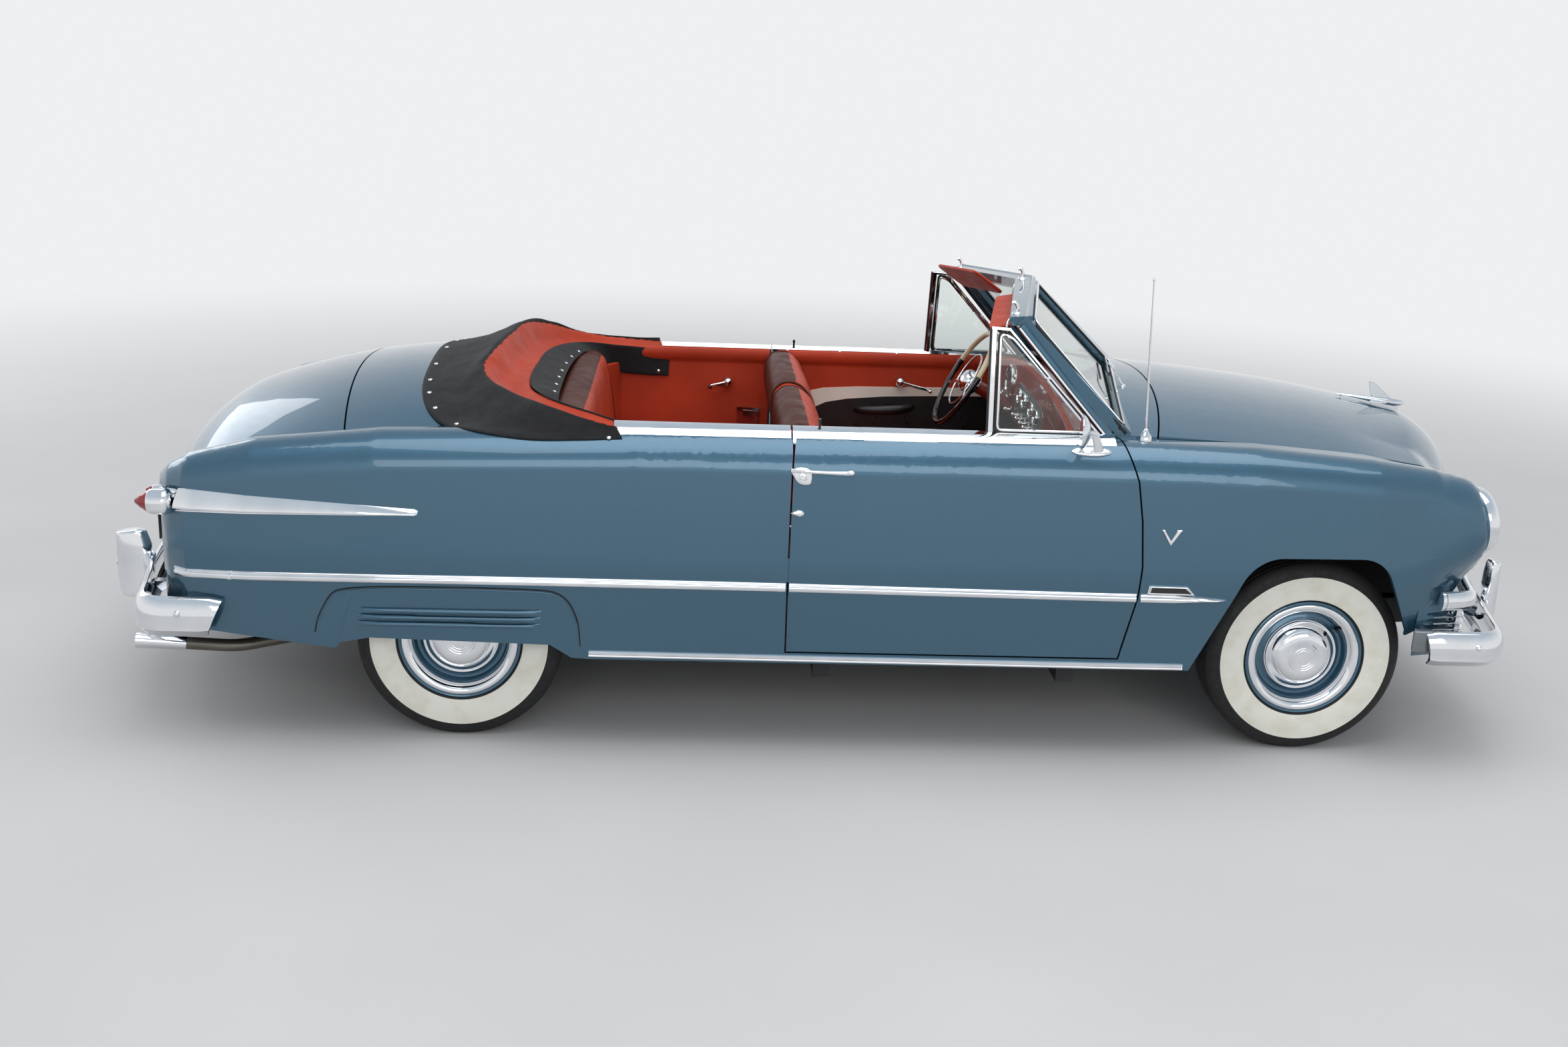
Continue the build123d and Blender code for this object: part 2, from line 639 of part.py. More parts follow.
def floor_pan():
    """Floor plates, tunnel, seat risers, rear pan, trunk floor and wheel houses, each a panel of its own."""
    sheet = prism_y(floor_profile(), -CABIN_WALL_Y, CABIN_WALL_Y)
    plate = sheet & block(HEEL_X, FIREWALL_X, -CABIN_WALL_Y, -TUNNEL_Y - FLOOR_T, 0, 900)
    riser = block(-60, 380, -620, -200, FLOOR_Z + FLOOR_T, SEAT_LOW_Z - SEAT_GAP)
    pan = sheet & (block(-862, HEEL_X, -CABIN_WALL_Y, CABIN_WALL_Y, 0, 900)
                   + block(TRUNK_X, -862, -TRUNK_Y, TRUNK_Y, 0, 900))
    pan -= block(HEEL_X - 50, HEEL_X + 1, -TUNNEL_Y, TUNNEL_Y, 0, SHAFT_TUNNEL_Z - FLOOR_T)
    trunk = sheet & block(-2200, TRUNK_X, -TRUNK_Y, TRUNK_Y, 0, 900)
    house = block(-1650, -WHEELHOUSE_X, -868, -TRUNK_Y, 440, 760)
    house -= block(-1636, -WHEELHOUSE_X - 14, -900, -TRUNK_Y - 14, 400, 746)
    panels = [tunnel(), pan, trunk]
    for half in (plate, riser, house):
        panels += [half, mirrored(half)]
    return Compound(panels)


@cache
def chassis_frame():
    """Box rails in straight sections that rise over the axles, with cross members and outriggers."""
    inner, outer = RAIL_Y - RAIL_W / 2, RAIL_Y + RAIL_W / 2
    members = []
    for (x0, z0), (x1, z1) in zip(RAIL_LINE, RAIL_LINE[1:]):
        section = prism_y([(x0, z0), (x1, z1), (x1, z1 + RAIL_H), (x0, z0 + RAIL_H)], -outer, -inner)
        members += [section, mirrored(section)]
    z_high = TYRE_R - SHAFT_R - SHAFT_CLEARANCE
    crossed = block(560, 620, -inner, inner, z_high - CROSS_H, z_high)
    for side in (-1, 1):
        ends = [(600, -side * inner), (510, -side * inner), (-680, side * inner), (-590, side * inner)]
        crossed += prism_z(ends, z_high - CROSS_H, z_high)
    members.append(crossed)
    for x0, x1, z0, z1 in CROSS_MEMBERS:
        members.append(block(x0, x1, -inner, inner, z0, z1))
    for x in OUTRIGGERS_X:
        arm = block(x, x + 60, OUTRIGGER_END_Y, -outer, 240, 296)
        members += [arm, mirrored(arm)]
    return Compound(members)


def engine_block():
    return block(1200, 1790, -230, 230, 401, 880) + block(GEARBOX_REAR_X, 1200, -105, 105, 300, 520)


def drive_line():
    """Propeller shaft, and the rear axle with its differential, stubs and drums."""
    z, x = TYRE_R, REAR_AXLE_X
    shaft = rod((GEARBOX_REAR_X, 0, z), (x + 120, 0, z), SHAFT_R)
    axle = rod((x, -DRUM_OUT_Y, z), (x, DRUM_OUT_Y, z), 38)
    axle += turned([(0, -120), (40, -120), (118, -20), (118, 20), (40, 120), (0, 120)],
                   (x, 0, z), (1, 0, 0), (0, 1, 0))
    axle += rod((x, -STUB_END_Y, z), (x, STUB_END_Y, z), STUB_R)
    axle += both(rod((x, -DRUM_OUT_Y, z), (x, -DRUM_IN_Y, z), DRUM_R))
    return Compound([shaft, axle])


def leaf_springs():
    x, low = REAR_AXLE_X, TYRE_R - 38 - 30
    line = [(x - 640, 370), (x - 200, low), (x + 200, low), (x + 640, 370)]
    upper = [(px, pz + 30) for px, pz in reversed(line)]
    outer, inner = SPRING_Y + SPRING_W / 2, SPRING_Y - SPRING_W / 2
    leaf = prism_y(line + upper, -outer, -inner)
    rail_side = -RAIL_Y - RAIL_W / 2
    hangers = block(x - 640, x - 600, -outer, rail_side, 366, 396)
    hangers += block(x + 600, x + 640, -outer, rail_side, 270, 398)
    return both(leaf + hangers)


def exhaust():
    low = EXHAUST_LOW_Z
    line = [(1420, -230.3, 620), (1420, -330, 620), (1360, -330, 300), (1000, -330, low), (-700, -330, low),
            (-1000, -330, 470), (-1480, -330, 470), (-1720, -360, 230), (-2050, -560, 222), (-2375, -600, 250)]
    tube = pipe(line, [60, 120, 120, 120, 160, 120, 120, 200], EXHAUST_R)
    return tube + rod((100, -330, low), (-560, -330, low), MUFFLER_R)


def fuel_tank():
    tank = block(-2120, -1720, -280, 370, 262, FLOOR_Z + 112)
    return fillet(tank.edges().filter_by(Axis.Y), 40)


def front_suspension():
    x = FRONT_AXLE_X
    low_z, top_z = TYRE_R - LOWER_ARM_DROP, TYRE_R + UPPER_ARM_RISE
    low = prism_z([(x - 130, -350), (x + 130, -350), (x + 24, -KINGPIN_Y), (x - 24, -KINGPIN_Y)],
                  low_z - 12, low_z + 12)
    low += Pos(x, -KINGPIN_Y, low_z) * Cylinder(25, 24)
    low += block(x - 120, x + 120, -392, -340, low_z - 12, 300)
    low += Pos(x, -KINGPIN_Y, low_z + 30) * Cylinder(KINGPIN_R, 60)
    top = prism_z([(x - 90, -430), (x + 90, -430), (x + 20, -KINGPIN_Y), (x - 20, -KINGPIN_Y)],
                  top_z - 9, top_z + 9)
    top += Pos(x, -KINGPIN_Y, top_z) * Cylinder(22, 18)
    top += block(x - 90, x + 90, -460, -400, 404, top_z + 9)
    top += Pos(x, -KINGPIN_Y, top_z - 24) * Cylinder(KINGPIN_R, 48)
    return both(low + top) - chassis_frame()


def knuckle():
    """Steering knuckle turning on its pins, with the drum and the stub that carries the wheel."""
    x, z = FRONT_AXLE_X, TYRE_R
    low, top = z - LOWER_ARM_DROP + 18, z + UPPER_ARM_RISE - 15
    post = rod((x, -KINGPIN_Y, low), (x, -KINGPIN_Y, top), 26)
    post -= rod((x, -KINGPIN_Y, low - 10), (x, -KINGPIN_Y, top + 10), KINGPIN_R + BEARING_GAP)
    stub = rod((x, -KINGPIN_Y - 16, z), (x, -STUB_END_Y, z), STUB_R)
    drum = rod((x, -DRUM_IN_Y, z), (x, -DRUM_OUT_Y, z), DRUM_R)
    return post + stub + drum


def wheel_parts(x, side):
    """Tyre and wheel of one corner; side is -1 at the right and 1 at the left."""
    centre = (x, side * TRACK / 2, TYRE_R)
    axis = (0, side, 0)
    half = TYRE_W / 2
    tyre = turned([(RIM_R, -RIM_W / 2), (RIM_R + 40, -half), (300, -half), (TYRE_R, -62),
                   (TYRE_R, 62), (300, half), (RIM_R + 40, half), (RIM_R, RIM_W / 2)], centre, axis, (1, 0, 0))
    seat, bore = RIM_R - SEAT_GAP, STUB_R + BEARING_GAP
    wheel = turned([(seat, -72), (RIM_R - 14, -72), (RIM_R - 24, 6), (HUB_R, 18), (bore, 14), (bore, 30),
                    (0, 30), (0, 80), (24, 80), (70, 76), (CAP_R, 44), (RIM_R - 24, 20), (RIM_R - 10, 62),
                    (RIM_R - 14, 72), (seat, 72)], centre, axis, (1, 0, 0))
    return tyre, wheel


def swept_bar(points, bends, section):
    line = FilletPolyline(*points, radius=bends)
    plane = Plane(origin=line @ 0, x_dir=(0, 0, 1), z_dir=line % 0)
    return sweep(plane * outline(section), path=line)


# Bumper section: height, distance out from its line
BLADE = [(-64, -12), (-56, 8), (-30, 16), (0, 24), (34, 20), (56, 6), (64, -12), (50, -4), (30, 6), (0, 8),
         (-28, 2), (-50, -4)]
BUMPER_BENDS = [120, 900, 900, 120]


def bumper_line(end_x, corner_x, mid_x):
    right = [(end_x, -BUMPER_HALF_Y, BUMPER_Z), (corner_x, -BUMPER_HALF_Y, BUMPER_Z), (mid_x, -250, BUMPER_Z)]
    return right + [(x, -y, z) for x, y, z in reversed(right)]


def bumper_guard(back_x, front_x, top_z):
    """Upright guard on the right of a bumper, its outer edges bevelled and its top leaning back."""
    lean = 0.35 * (front_x - back_x)
    side = prism_y([(back_x, 345), (front_x - lean, 345), (front_x, 400), (front_x, top_z - 40),
                    (front_x - lean, top_z), (back_x, top_z - 12)], -GUARD_Y - 40, -GUARD_Y + 40)
    face = prism_x([(-GUARD_Y - 32, 345), (-GUARD_Y + 32, 345), (-GUARD_Y + 24, top_z), (-GUARD_Y - 24, top_z)],
                   min(back_x, front_x), max(back_x, front_x))
    return side & face


def front_bumper():
    blade = swept_bar(bumper_line(2020, 2275, 2455), BUMPER_BENDS, BLADE)
    arm = block(2230, 2450, -RAIL_Y - 20, -RAIL_Y + 20, 395, 445)
    return blade + both(bumper_guard(2444, FRONT_X, 602) + arm)


def rear_bumper():
    inward = [(z, -y) for z, y in BLADE]
    blade = swept_bar(bumper_line(-1990, -2250, -2430), BUMPER_BENDS, inward)
    guard = bumper_guard(-2420, REAR_X, 592)
    arm = block(-2430, -2240, -RAIL_Y - 20, -RAIL_Y + 20, 345, 395)
    plate = block(-2440, -2434, -160, 160, 470, 590) - both(rod((-2460, -89, 560), (-2400, -89, 560), 3.5))
    return blade + both(guard + arm) + plate


def bumper_arm_space():
    return block(2180, 2450, -RAIL_Y - 24, -RAIL_Y + 24, 391, 449)


def grille():
    bar = [(2060, -860, GRILLE_Z), (2170, -845, GRILLE_Z), (2300, -420, GRILLE_Z), (2300, 420, GRILLE_Z),
           (2170, 845, GRILLE_Z), (2060, 860, GRILLE_Z)]
    section = [(-32, -8), (-26, 16), (0, 26), (26, 16), (32, -8), (0, -10)]
    chrome = swept_bar(bar, [60, 700, 700, 60], section)
    bullet = turned([(0, -33), (62, -33), (70, 0), (52, 50), (12, 86), (0, 86)],
                    (2290, -400, GRILLE_Z), (1, 0, 0), (0, 1, 0))
    chrome += both(bullet)
    for z in LOUVRES_Z:
        row = [(x - 20, y, z) for x, y, _ in bar]
        chrome += swept_bar(row, [60, 700, 700, 60], [(-10, 0), (0, 14), (10, 0), (0, -12)])
    posts = both(rod((2138, -838, 455), (2138, -838, 600), 8) + block(2254.3, 2298, -306, -294, 470, 600))
    return (chrome + posts) - both(side_block(-SEAT_GAP))


def valance(fender):
    """Apron under the grille with the dark wall behind it, touching the fenders inside."""
    points = [(2000, -888, 430), (2150, -850, 430), (2290, -420, 430), (2290, 420, 430), (2150, 850, 430),
              (2000, 888, 430)]
    section = [(-46, -40), (-46, -36), (0, 0), (4, 0), (4, -36), (240, -36), (240, -40)]
    sheet = swept_bar(points, [90, 700, 700, 90], section)
    return sheet - both(fender) - both(bumper_arm_space())


def root_mouldings():
    """Chrome on the fixed body: belt mouldings, tail spears, rocker strips and quarter sills."""
    quarter = block(-2300, DOOR_REAR_X - GAP - 1, -1000, -500, 0, 1200)
    fender = block(DOOR_HINGE_X + GAP + 1, 1400, -1000, -500, 0, 1200)
    belt = skin_strip(BELT, BELT_PROUD)
    spear = skin_strip([(-2155, 800), (-2155, 882), (-1760, 862), (-1365, 827), (-1365, 819)], 12)
    rock = skin_strip([(-820, 327), (1190, 327), (1190, 350), (-820, 350)], 8)
    sill = skin_strip([(-590, 1000), (-175, 1000), (-175, 1130), (-590, 1130)], 4, -806, -CABIN_WALL_Y)
    half = (belt & quarter) + (belt & fender) + (spear - tail_bezel(SEAT_GAP)) + rock + sill
    return both(half)


def radiator():
    core = block(2060, 2110, -330, 330, 456, 900)
    aprons = both(block(FIREWALL_X + FIREWALL_T, 2150, -460, -448, 480, 900))
    posts = both(rod((2115, -300, 870), (2115, -300, HOOD_POST_Z), 10))
    panel = core + aprons + posts + block(2110, 2120, -460, 460, 456, 880)
    return panel - chassis_frame() - crown_sheet(hood_line(), HOOD_CROWN_R, 760, LID_SKIN + 0.4)


def hood_ornament():
    body = prism_y([(1955, 1112), (2110, 1096), (2225, 1084), (2232, 1098), (2120, 1122), (1965, 1124)],
                   -14, 14, [4, 4, 6, 6, 40, 4])
    fin = prism_y([(1985, 1118), (2130, 1108), (2075, 1172), (2050, 1172)], -3, 3)
    wings = prism_z([(2040, -60), (2110, -14), (2110, 14), (2040, 60), (2060, 0)], 1100, 1108)
    foot = block(1990, 2130, -10, 10, 1060, 1112)
    return (body + fin + wings + foot) - crown_sheet(hood_line(), HOOD_CROWN_R, 760, 120)


def lid_handle():
    grip = block(-2366, -2330, -60, 60, 690, 712) + block(-2358, -2330, -14, 14, 660, 720)
    return grip - crown_sheet(deck_line(), DECK_CROWN_R, 760, 60)


def antenna():
    base = rod((1030, -742, 1084), (1030, -744, 1120), 14)
    mast = rod((1030, -744, 1118), (1012, -752, 1632), 2.5)
    return (base + mast) - both(side_block()) - crown_sheet(hood_line(), HOOD_CROWN_R, 760, 60)


def build():
    shell = side_shell()
    fender = front_fender(shell)
    quarter = quarter_panel(shell)
    parts = {
        "chassis_frame": chassis_frame(),
        "floor_pan": floor_pan(),
        "cowl": cowl(),
        "front_fender_right": fender,
        "front_fender_left": mirrored(fender),
        "quarter_panel_right": quarter,
        "quarter_panel_left": mirrored(quarter),
        "fender_skirts": both(skirt(shell)),
        "tonneau_panel": tonneau_panel(),
        "rear_panel": rear_panel(),
        "nose_panel": nose_panel(),
        "valance": valance(fender),
        "grille": grille(),
        "front_bumper": front_bumper(),
        "rear_bumper": rear_bumper(),
        "headlights": both(headlight()),
        "tail_lamps": both(tail_lamp()),
        "body_mouldings": root_mouldings(),
        "windshield_frame": windshield_frame(),
        "windshield_glass": windshield_glass(),
        "dashboard": dashboard(),
        "steering_column": steering_column(),
        "front_seat": front_seat(),
        "rear_seat": rear_seat(),
        "top_boot": top_boot(),
        "engine_block": engine_block(),
        "drive_line": drive_line(),
        "leaf_springs": leaf_springs(),
        "exhaust": exhaust(),
        "fuel_tank": fuel_tank(),
        "front_suspension": front_suspension(),
        "radiator": radiator(),
        "antenna": antenna(),
        "steering_wheel": steering_wheel(),
        "hood": hood(),
        "hood_ornament": hood_ornament(),
        "deck_lid": deck_lid(),
        "lid_handle": lid_handle(),
    }
    trim = door_trim()
    panel = door()
    glass = vent_plate(vent_inner(), 5)
    for name, flip in (("right", False), ("left", True)):
        place = mirrored if flip else (lambda shape: shape)
        parts[f"door_{name}"] = place(panel)
        parts[f"door_trim_{name}"] = place(trim if flip else trim + mirror_arm())
        parts[f"vent_glass_{name}"] = place(glass)
        parts[f"knuckle_{name}"] = place(knuckle())
        for end, x in (("front", FRONT_AXLE_X), ("rear", REAR_AXLE_X)):
            tyre, wheel = wheel_parts(x, 1 if flip else -1)
            parts[f"tyre_{end}_{name}"] = tyre
            parts[f"wheel_{end}_{name}"] = wheel
    return parts


if __name__ == "__main__":
    os.makedirs("parts", exist_ok=True)
    for name, shape in build().items():
        export_step(shape, f"parts/{name}.step")
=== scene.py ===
import json
from math import cos, pi, radians, sin, sqrt

import bmesh
import bpy
from mathutils import Matrix, Vector, noise
from mathutils.bvhtree import BVHTree


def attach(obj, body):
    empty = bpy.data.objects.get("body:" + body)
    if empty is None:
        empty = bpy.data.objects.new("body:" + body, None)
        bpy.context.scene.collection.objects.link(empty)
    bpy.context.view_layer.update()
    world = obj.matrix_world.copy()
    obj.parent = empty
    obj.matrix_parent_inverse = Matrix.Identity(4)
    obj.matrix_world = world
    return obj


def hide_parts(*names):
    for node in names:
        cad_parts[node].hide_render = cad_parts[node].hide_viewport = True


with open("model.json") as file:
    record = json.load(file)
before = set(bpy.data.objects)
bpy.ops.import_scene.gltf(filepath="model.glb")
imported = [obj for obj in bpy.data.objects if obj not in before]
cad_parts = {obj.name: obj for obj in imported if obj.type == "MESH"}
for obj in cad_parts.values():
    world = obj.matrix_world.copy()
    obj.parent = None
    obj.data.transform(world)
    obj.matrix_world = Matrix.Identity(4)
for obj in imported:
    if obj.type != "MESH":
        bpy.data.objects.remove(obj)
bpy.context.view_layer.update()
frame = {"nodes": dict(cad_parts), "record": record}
NODES = frame["nodes"]
SCENE = bpy.context.scene

# Metres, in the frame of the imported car: X forward, Y to its left, Z up, origin on the ground
SIDES = (("right", -1), ("left", 1))
AXLES = (("front", 1.643), ("rear", -1.253))
HALF_TRACK = 0.711
TYRE_R = 0.343
STEER_HUB = Vector((0.62, 0.36, 1.05))
STEER_TILT = radians(29.6)
STEER_R = 0.204
WELD_GAP = 1e-5


# Small helpers for meshes

def blend_in(a, b, t):
    return a + (b - a) * t


def on_side(x, y, z, side):
    return Vector((x, side * y, z))


def smooth(t):
    t = max(0.0, min(1.0, t))
    return t * t * (3 - 2 * t)


def curve_points(points, per_span=8, closed=False):
    """Smooth line through points, as a Catmull-Rom curve."""
    pts = [Vector(p) for p in points]
    n = len(pts)
    out = []
    for i in range(n if closed else n - 1):
        p1, p2 = pts[i], pts[(i + 1) % n]
        p0 = pts[i - 1] if closed or i > 0 else p1 * 2 - p2
        p3 = pts[(i + 2) % n] if closed or i + 2 < n else p2 * 2 - p1
        for k in range(per_span):
            t = k / per_span
            square, cube = 2 * p0 - 5 * p1 + 4 * p2 - p3, 3 * p1 - p0 - 3 * p2 + p3
            out.append(0.5 * (2 * p1 + (p2 - p0) * t + square * t ** 2 + cube * t ** 3))
    if not closed:
        out.append(pts[-1])
    return out


def oval(a, b, count=28):
    """Closed loop of points (u, v) with half axes a and b."""
    return [(a * cos(2 * pi * k / count), b * sin(2 * pi * k / count)) for k in range(count)]


def flat_bar(width, depth, round_off=0.3):
    """Section of a flat bar with eased corners."""
    a, b = width / 2, depth / 2
    c = min(a, b) * round_off
    return [(-a, -b + c), (-a, b - c), (-a + c, b), (a - c, b), (a, b - c), (a, -b + c), (a - c, -b),
            (-a + c, -b)]


def corner_round(points, radii, steps=5, closed=True):
    """Path through corner points, each rounded by its own length of cut."""
    pts = [Vector(p) for p in points]
    n = len(pts)
    out = []
    for i, p in enumerate(pts):
        if not closed and i in (0, n - 1):
            out.append(p)
            continue
        a, b = pts[i - 1], pts[(i + 1) % n]
        start, end = p + (a - p).normalized() * radii[i], p + (b - p).normalized() * radii[i]
        out += [start.lerp(p, k / steps).lerp(p.lerp(end, k / steps), k / steps) for k in range(steps + 1)]
    return out


def grid_faces(rows, cols, wrap_rows=False, wrap_cols=False):
    faces = []
    for i in range(rows if wrap_rows else rows - 1):
        for j in range(cols if wrap_cols else cols - 1):
            a, b = i * cols, (i + 1) % rows * cols
            k = (j + 1) % cols
            faces.append((a + j, a + k, b + k, b + j))
    return faces


class Shape:
    """Vertices and faces gathered from several parts, each with a material number."""

    def __init__(self):
        self.verts, self.faces, self.marks = [], [], []

    def add(self, verts, faces, mark=0):
        base = len(self.verts)
        self.verts += [Vector(v) for v in verts]
        self.faces += [tuple(base + i for i in f) for f in faces]
        self.marks += [mark(i) if callable(mark) else mark for i in range(len(faces))]
        return self

    def loft(self, rings, mark=0, wrap=False, foot=True):
        """Skin through rings of points; its ends get faces, but none with wrap, and without foot one."""
        n, m = len(rings), len(rings[0])
        base = len(self.verts)
        self.add([p for ring in rings for p in ring], grid_faces(n, m, wrap_rows=wrap, wrap_cols=True), mark)
        ends = []
        if foot and not wrap:
            ends.append(range(base + m - 1, base - 1, -1))
        if not wrap:
            ends.append(range(base + (n - 1) * m, base + n * m))
        self.faces += [tuple(end) for end in ends]
        self.marks += [mark] * len(ends)
        return self

    def lathe(self, profile, centre, axis, segments=64, mark=0):
        """Turned form of points (radius, distance along axis); mark can be a function of the span."""
        axis = Vector(axis).normalized()
        side = axis.orthogonal() if abs(axis.z) > 0.9 else Vector((0, 0, 1)).cross(axis)
        side.normalize()
        up = axis.cross(side)
        verts = []
        for i in range(segments):
            a = 2 * pi * i / segments
            out = side * cos(a) + up * sin(a)
            verts += [Vector(centre) + out * r + axis * d for r, d in profile]
        spans = len(profile) - 1
        marker = (lambda i: mark(i % spans)) if callable(mark) else mark
        return self.add(verts, grid_faces(segments, len(profile), wrap_rows=True), marker)

    def sweep(self, path, section, up=(0, 0, 1), mark=0, scale=None, closed=False):
        """Section points are (across, up) and follow the path; scale gives their size along the way."""
        path = [Vector(p) for p in path]
        n = len(path)
        rings = []
        for i, p in enumerate(path):
            if closed:
                along = path[(i + 1) % n] - path[i - 1]
            else:
                along = path[min(i + 1, n - 1)] - path[max(i - 1, 0)]
            along.normalize()
            across = Vector(up).cross(along).normalized()
            top = along.cross(across)
            k = scale(i / (n - 1)) if scale else 1
            rings.append([p + across * u * k + top * v * k for u, v in section])
        return self.loft(rings, mark, wrap=closed)

    def tube(self, path, radius, sides=10, mark=0, closed=False, up=(0.03, 0.05, 1)):
        return self.sweep(path, oval(radius, radius, sides), up=up, mark=mark, closed=closed)

    def slab(self, outline, lift, mark=0):
        """Plate between an outline of 3-D points and the same outline moved by lift."""
        pts = [Vector(p) for p in outline]
        n = len(pts)
        verts = pts + [p + Vector(lift) for p in pts]
        faces = [tuple(reversed(range(n))), tuple(range(n, 2 * n))]
        faces += [(i, (i + 1) % n, n + (i + 1) % n, n + i) for i in range(n)]
        return self.add(verts, faces, mark)

    def box(self, low, high, mark=0):
        (x0, y0, z0), (x1, y1, z1) = low, high
        return self.slab([(x0, y0, z0), (x1, y0, z0), (x1, y1, z0), (x0, y1, z0)], (0, 0, z1 - z0), mark)


def place_object(name, data):
    obj = bpy.data.objects.new(name, data)
    SCENE.collection.objects.link(obj)
    return obj


def soften(obj, angle):
    """Smooth shading that keeps edges sharper than angle, without changing the mesh."""
    split = obj.modifiers.new("Sharp edges", "EDGE_SPLIT")
    split.split_angle = radians(angle)
    split.use_edge_sharp = False
    obj.modifiers.new("Weighted normals", "WEIGHTED_NORMAL")


def piece(name, shape, mats, body="root", replaces=(), bevel=0.0, angle=32):
    """Object of a shape, riding on a body; edges sharper than angle stay sharp, and none with None."""
    mesh = bpy.data.meshes.new(name)
    mesh.from_pydata(shape.verts, [], shape.faces)
    for m in mats:
        mesh.materials.append(m)
    mesh.polygons.foreach_set("material_index", shape.marks)
    bm = bmesh.new()
    bm.from_mesh(mesh)
    bmesh.ops.remove_doubles(bm, verts=bm.verts, dist=WELD_GAP)
    bmesh.ops.recalc_face_normals(bm, faces=bm.faces)
    for f in bm.faces:
        f.smooth = True
    bm.to_mesh(mesh)
    bm.free()
    obj = place_object(name, mesh)
    if bevel:
        mod = obj.modifiers.new("Bevel", "BEVEL")
        mod.width, mod.segments, mod.angle_limit = bevel, 3, radians(35)
    if angle:
        soften(obj, angle)
    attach(obj, body)
    if replaces:
        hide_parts(*replaces)
    return obj


# Materials

def srgb(r, g, b):
    def linear(c):
        c /= 255
        return c / 12.92 if c <= 0.04045 else ((c + 0.055) / 1.055) ** 2.4
    return linear(r), linear(g), linear(b), 1.0


def shade(colour, k):
    return tuple(min(1.0, c * k) for c in colour[:3]) + (1.0,)


class Graph:
    """Short way to place and link shader nodes."""

    def __init__(self, tree):
        self.tree = tree

    def feed(self, socket, value):
        """Links another node's output to the socket, or sets its value."""
        if isinstance(value, bpy.types.NodeSocket):
            self.tree.links.new(value, socket)
        else:
            socket.default_value = value

    def new(self, kind, inputs=None, **props):
        node = self.tree.nodes.new("ShaderNode" + kind)
        for key, value in props.items():
            setattr(node, key, value)
        for key, value in (inputs or {}).items():
            self.feed(node.inputs[key], value)
        return node


class Nodes(Graph):
    """Nodes of a new material round its principled shader."""

    def __init__(self, name):
        self.mat = bpy.data.materials.new(name)
        self.mat.use_nodes = True
        super().__init__(self.mat.node_tree)
        self.bsdf = self.tree.nodes["Principled BSDF"]
        self.coords = self.new("TexCoord").outputs["Object"]

    def noise(self, scale, detail=4.0, stretch=(1, 1, 1)):
        place = self.new("Mapping", {"Vector": self.coords, "Scale": stretch})
        return self.new("TexNoise", {"Vector": place.outputs[0], "Scale": scale,
                                     "Detail": detail}).outputs["Fac"]

    def spread(self, value, low, high, start=0.3, end=0.7):
        return self.new("MapRange", {"Value": value, "From Min": start, "From Max": end,
                                     "To Min": low, "To Max": high}).outputs[0]

    def mix(self, factor, a, b):
        node = self.new("Mix", data_type="RGBA")
        for key, value in ((0, factor), (6, a), (7, b)):
            self.feed(node.inputs[key], value)
        return node.outputs[2]

    def bump(self, height, strength, distance, below=None):
        inputs = {"Height": height, "Strength": strength, "Distance": distance}
        if below is not None:
            inputs["Normal"] = below
        return self.new("Bump", inputs).outputs[0]

    def set(self, **values):
        for key, value in values.items():
            self.feed(self.bsdf.inputs[key.replace("_", " ")], value)
        return self.mat


def plain(name, colour, rough, metal=0.0, vary=0.08, scale=6.0, rough_vary=0.06, grain=None, **more):
    """Finish with soft colour and roughness variation; grain is (scale, strength, distance)."""
    n = Nodes(name)
    cloud = n.noise(scale)
    n.set(Base_Color=n.mix(n.spread(cloud, 0, 1), shade(colour, 1 - vary), shade(colour, 1 + vary)),
          Roughness=n.spread(n.noise(scale * 4), rough - rough_vary, rough + rough_vary), Metallic=metal)
    if grain:
        n.set(Normal=n.bump(n.noise(grain[0]), grain[1], grain[2]))
    return n.set(**more)


def car_paint():
    n = Nodes("steel_blue_paint")
    base = srgb(57, 97, 119)
    flakes = n.spread(n.noise(1400, 1.0), 0, 1, 0.35, 0.65)
    cloud = n.spread(n.noise(1.6), 0, 1)
    tone = n.mix(flakes, shade(base, 0.88), shade(base, 1.14))
    tone = n.mix(cloud, tone, n.mix(0.35, tone, shade(base, 1.08)))
    return n.set(Base_Color=tone, Metallic=0.62, Roughness=n.spread(n.noise(30), 0.3, 0.36),
                 Coat_Weight=1.0, Coat_Roughness=0.025)


def chrome():
    n = Nodes("chrome")
    film = n.noise(9)
    return n.set(Base_Color=n.mix(n.spread(film, 0, 1), srgb(226, 228, 231), srgb(240, 241, 243)),
                 Metallic=1.0, Roughness=n.spread(n.noise(26), 0.04, 0.09))


def leather(name, colour, rough=0.42, gloss=0.5):
    n = Nodes(name)
    worn = n.spread(n.noise(5), 0, 1)
    cells = n.new("TexVoronoi", {"Vector": n.coords, "Scale": 420.0}, feature="DISTANCE_TO_EDGE").outputs[0]
    grain = n.bump(n.spread(cells, 0, 1, 0.0, 0.25), 0.35, 0.0005)
    wrinkle = n.bump(n.noise(28, 6), 0.25, 0.003, grain)
    tone = n.mix(worn, shade(colour, 0.82), shade(colour, 1.12))
    # Colour darkened toward the edges of the grain cells, in the grain's creases: painted shade
    tone = n.mix(n.spread(cells, 0.25, 0, 0.0, 0.2), tone, shade(colour, 0.6))
    return n.set(Base_Color=tone, Roughness=n.spread(n.noise(16), rough - 0.08, rough + 0.1),
                 Normal=wrinkle, Coat_Weight=0.24 * gloss, Coat_Roughness=0.3,
                 Specular_IOR_Level=gloss, IOR=1.1 + 0.7 * gloss)


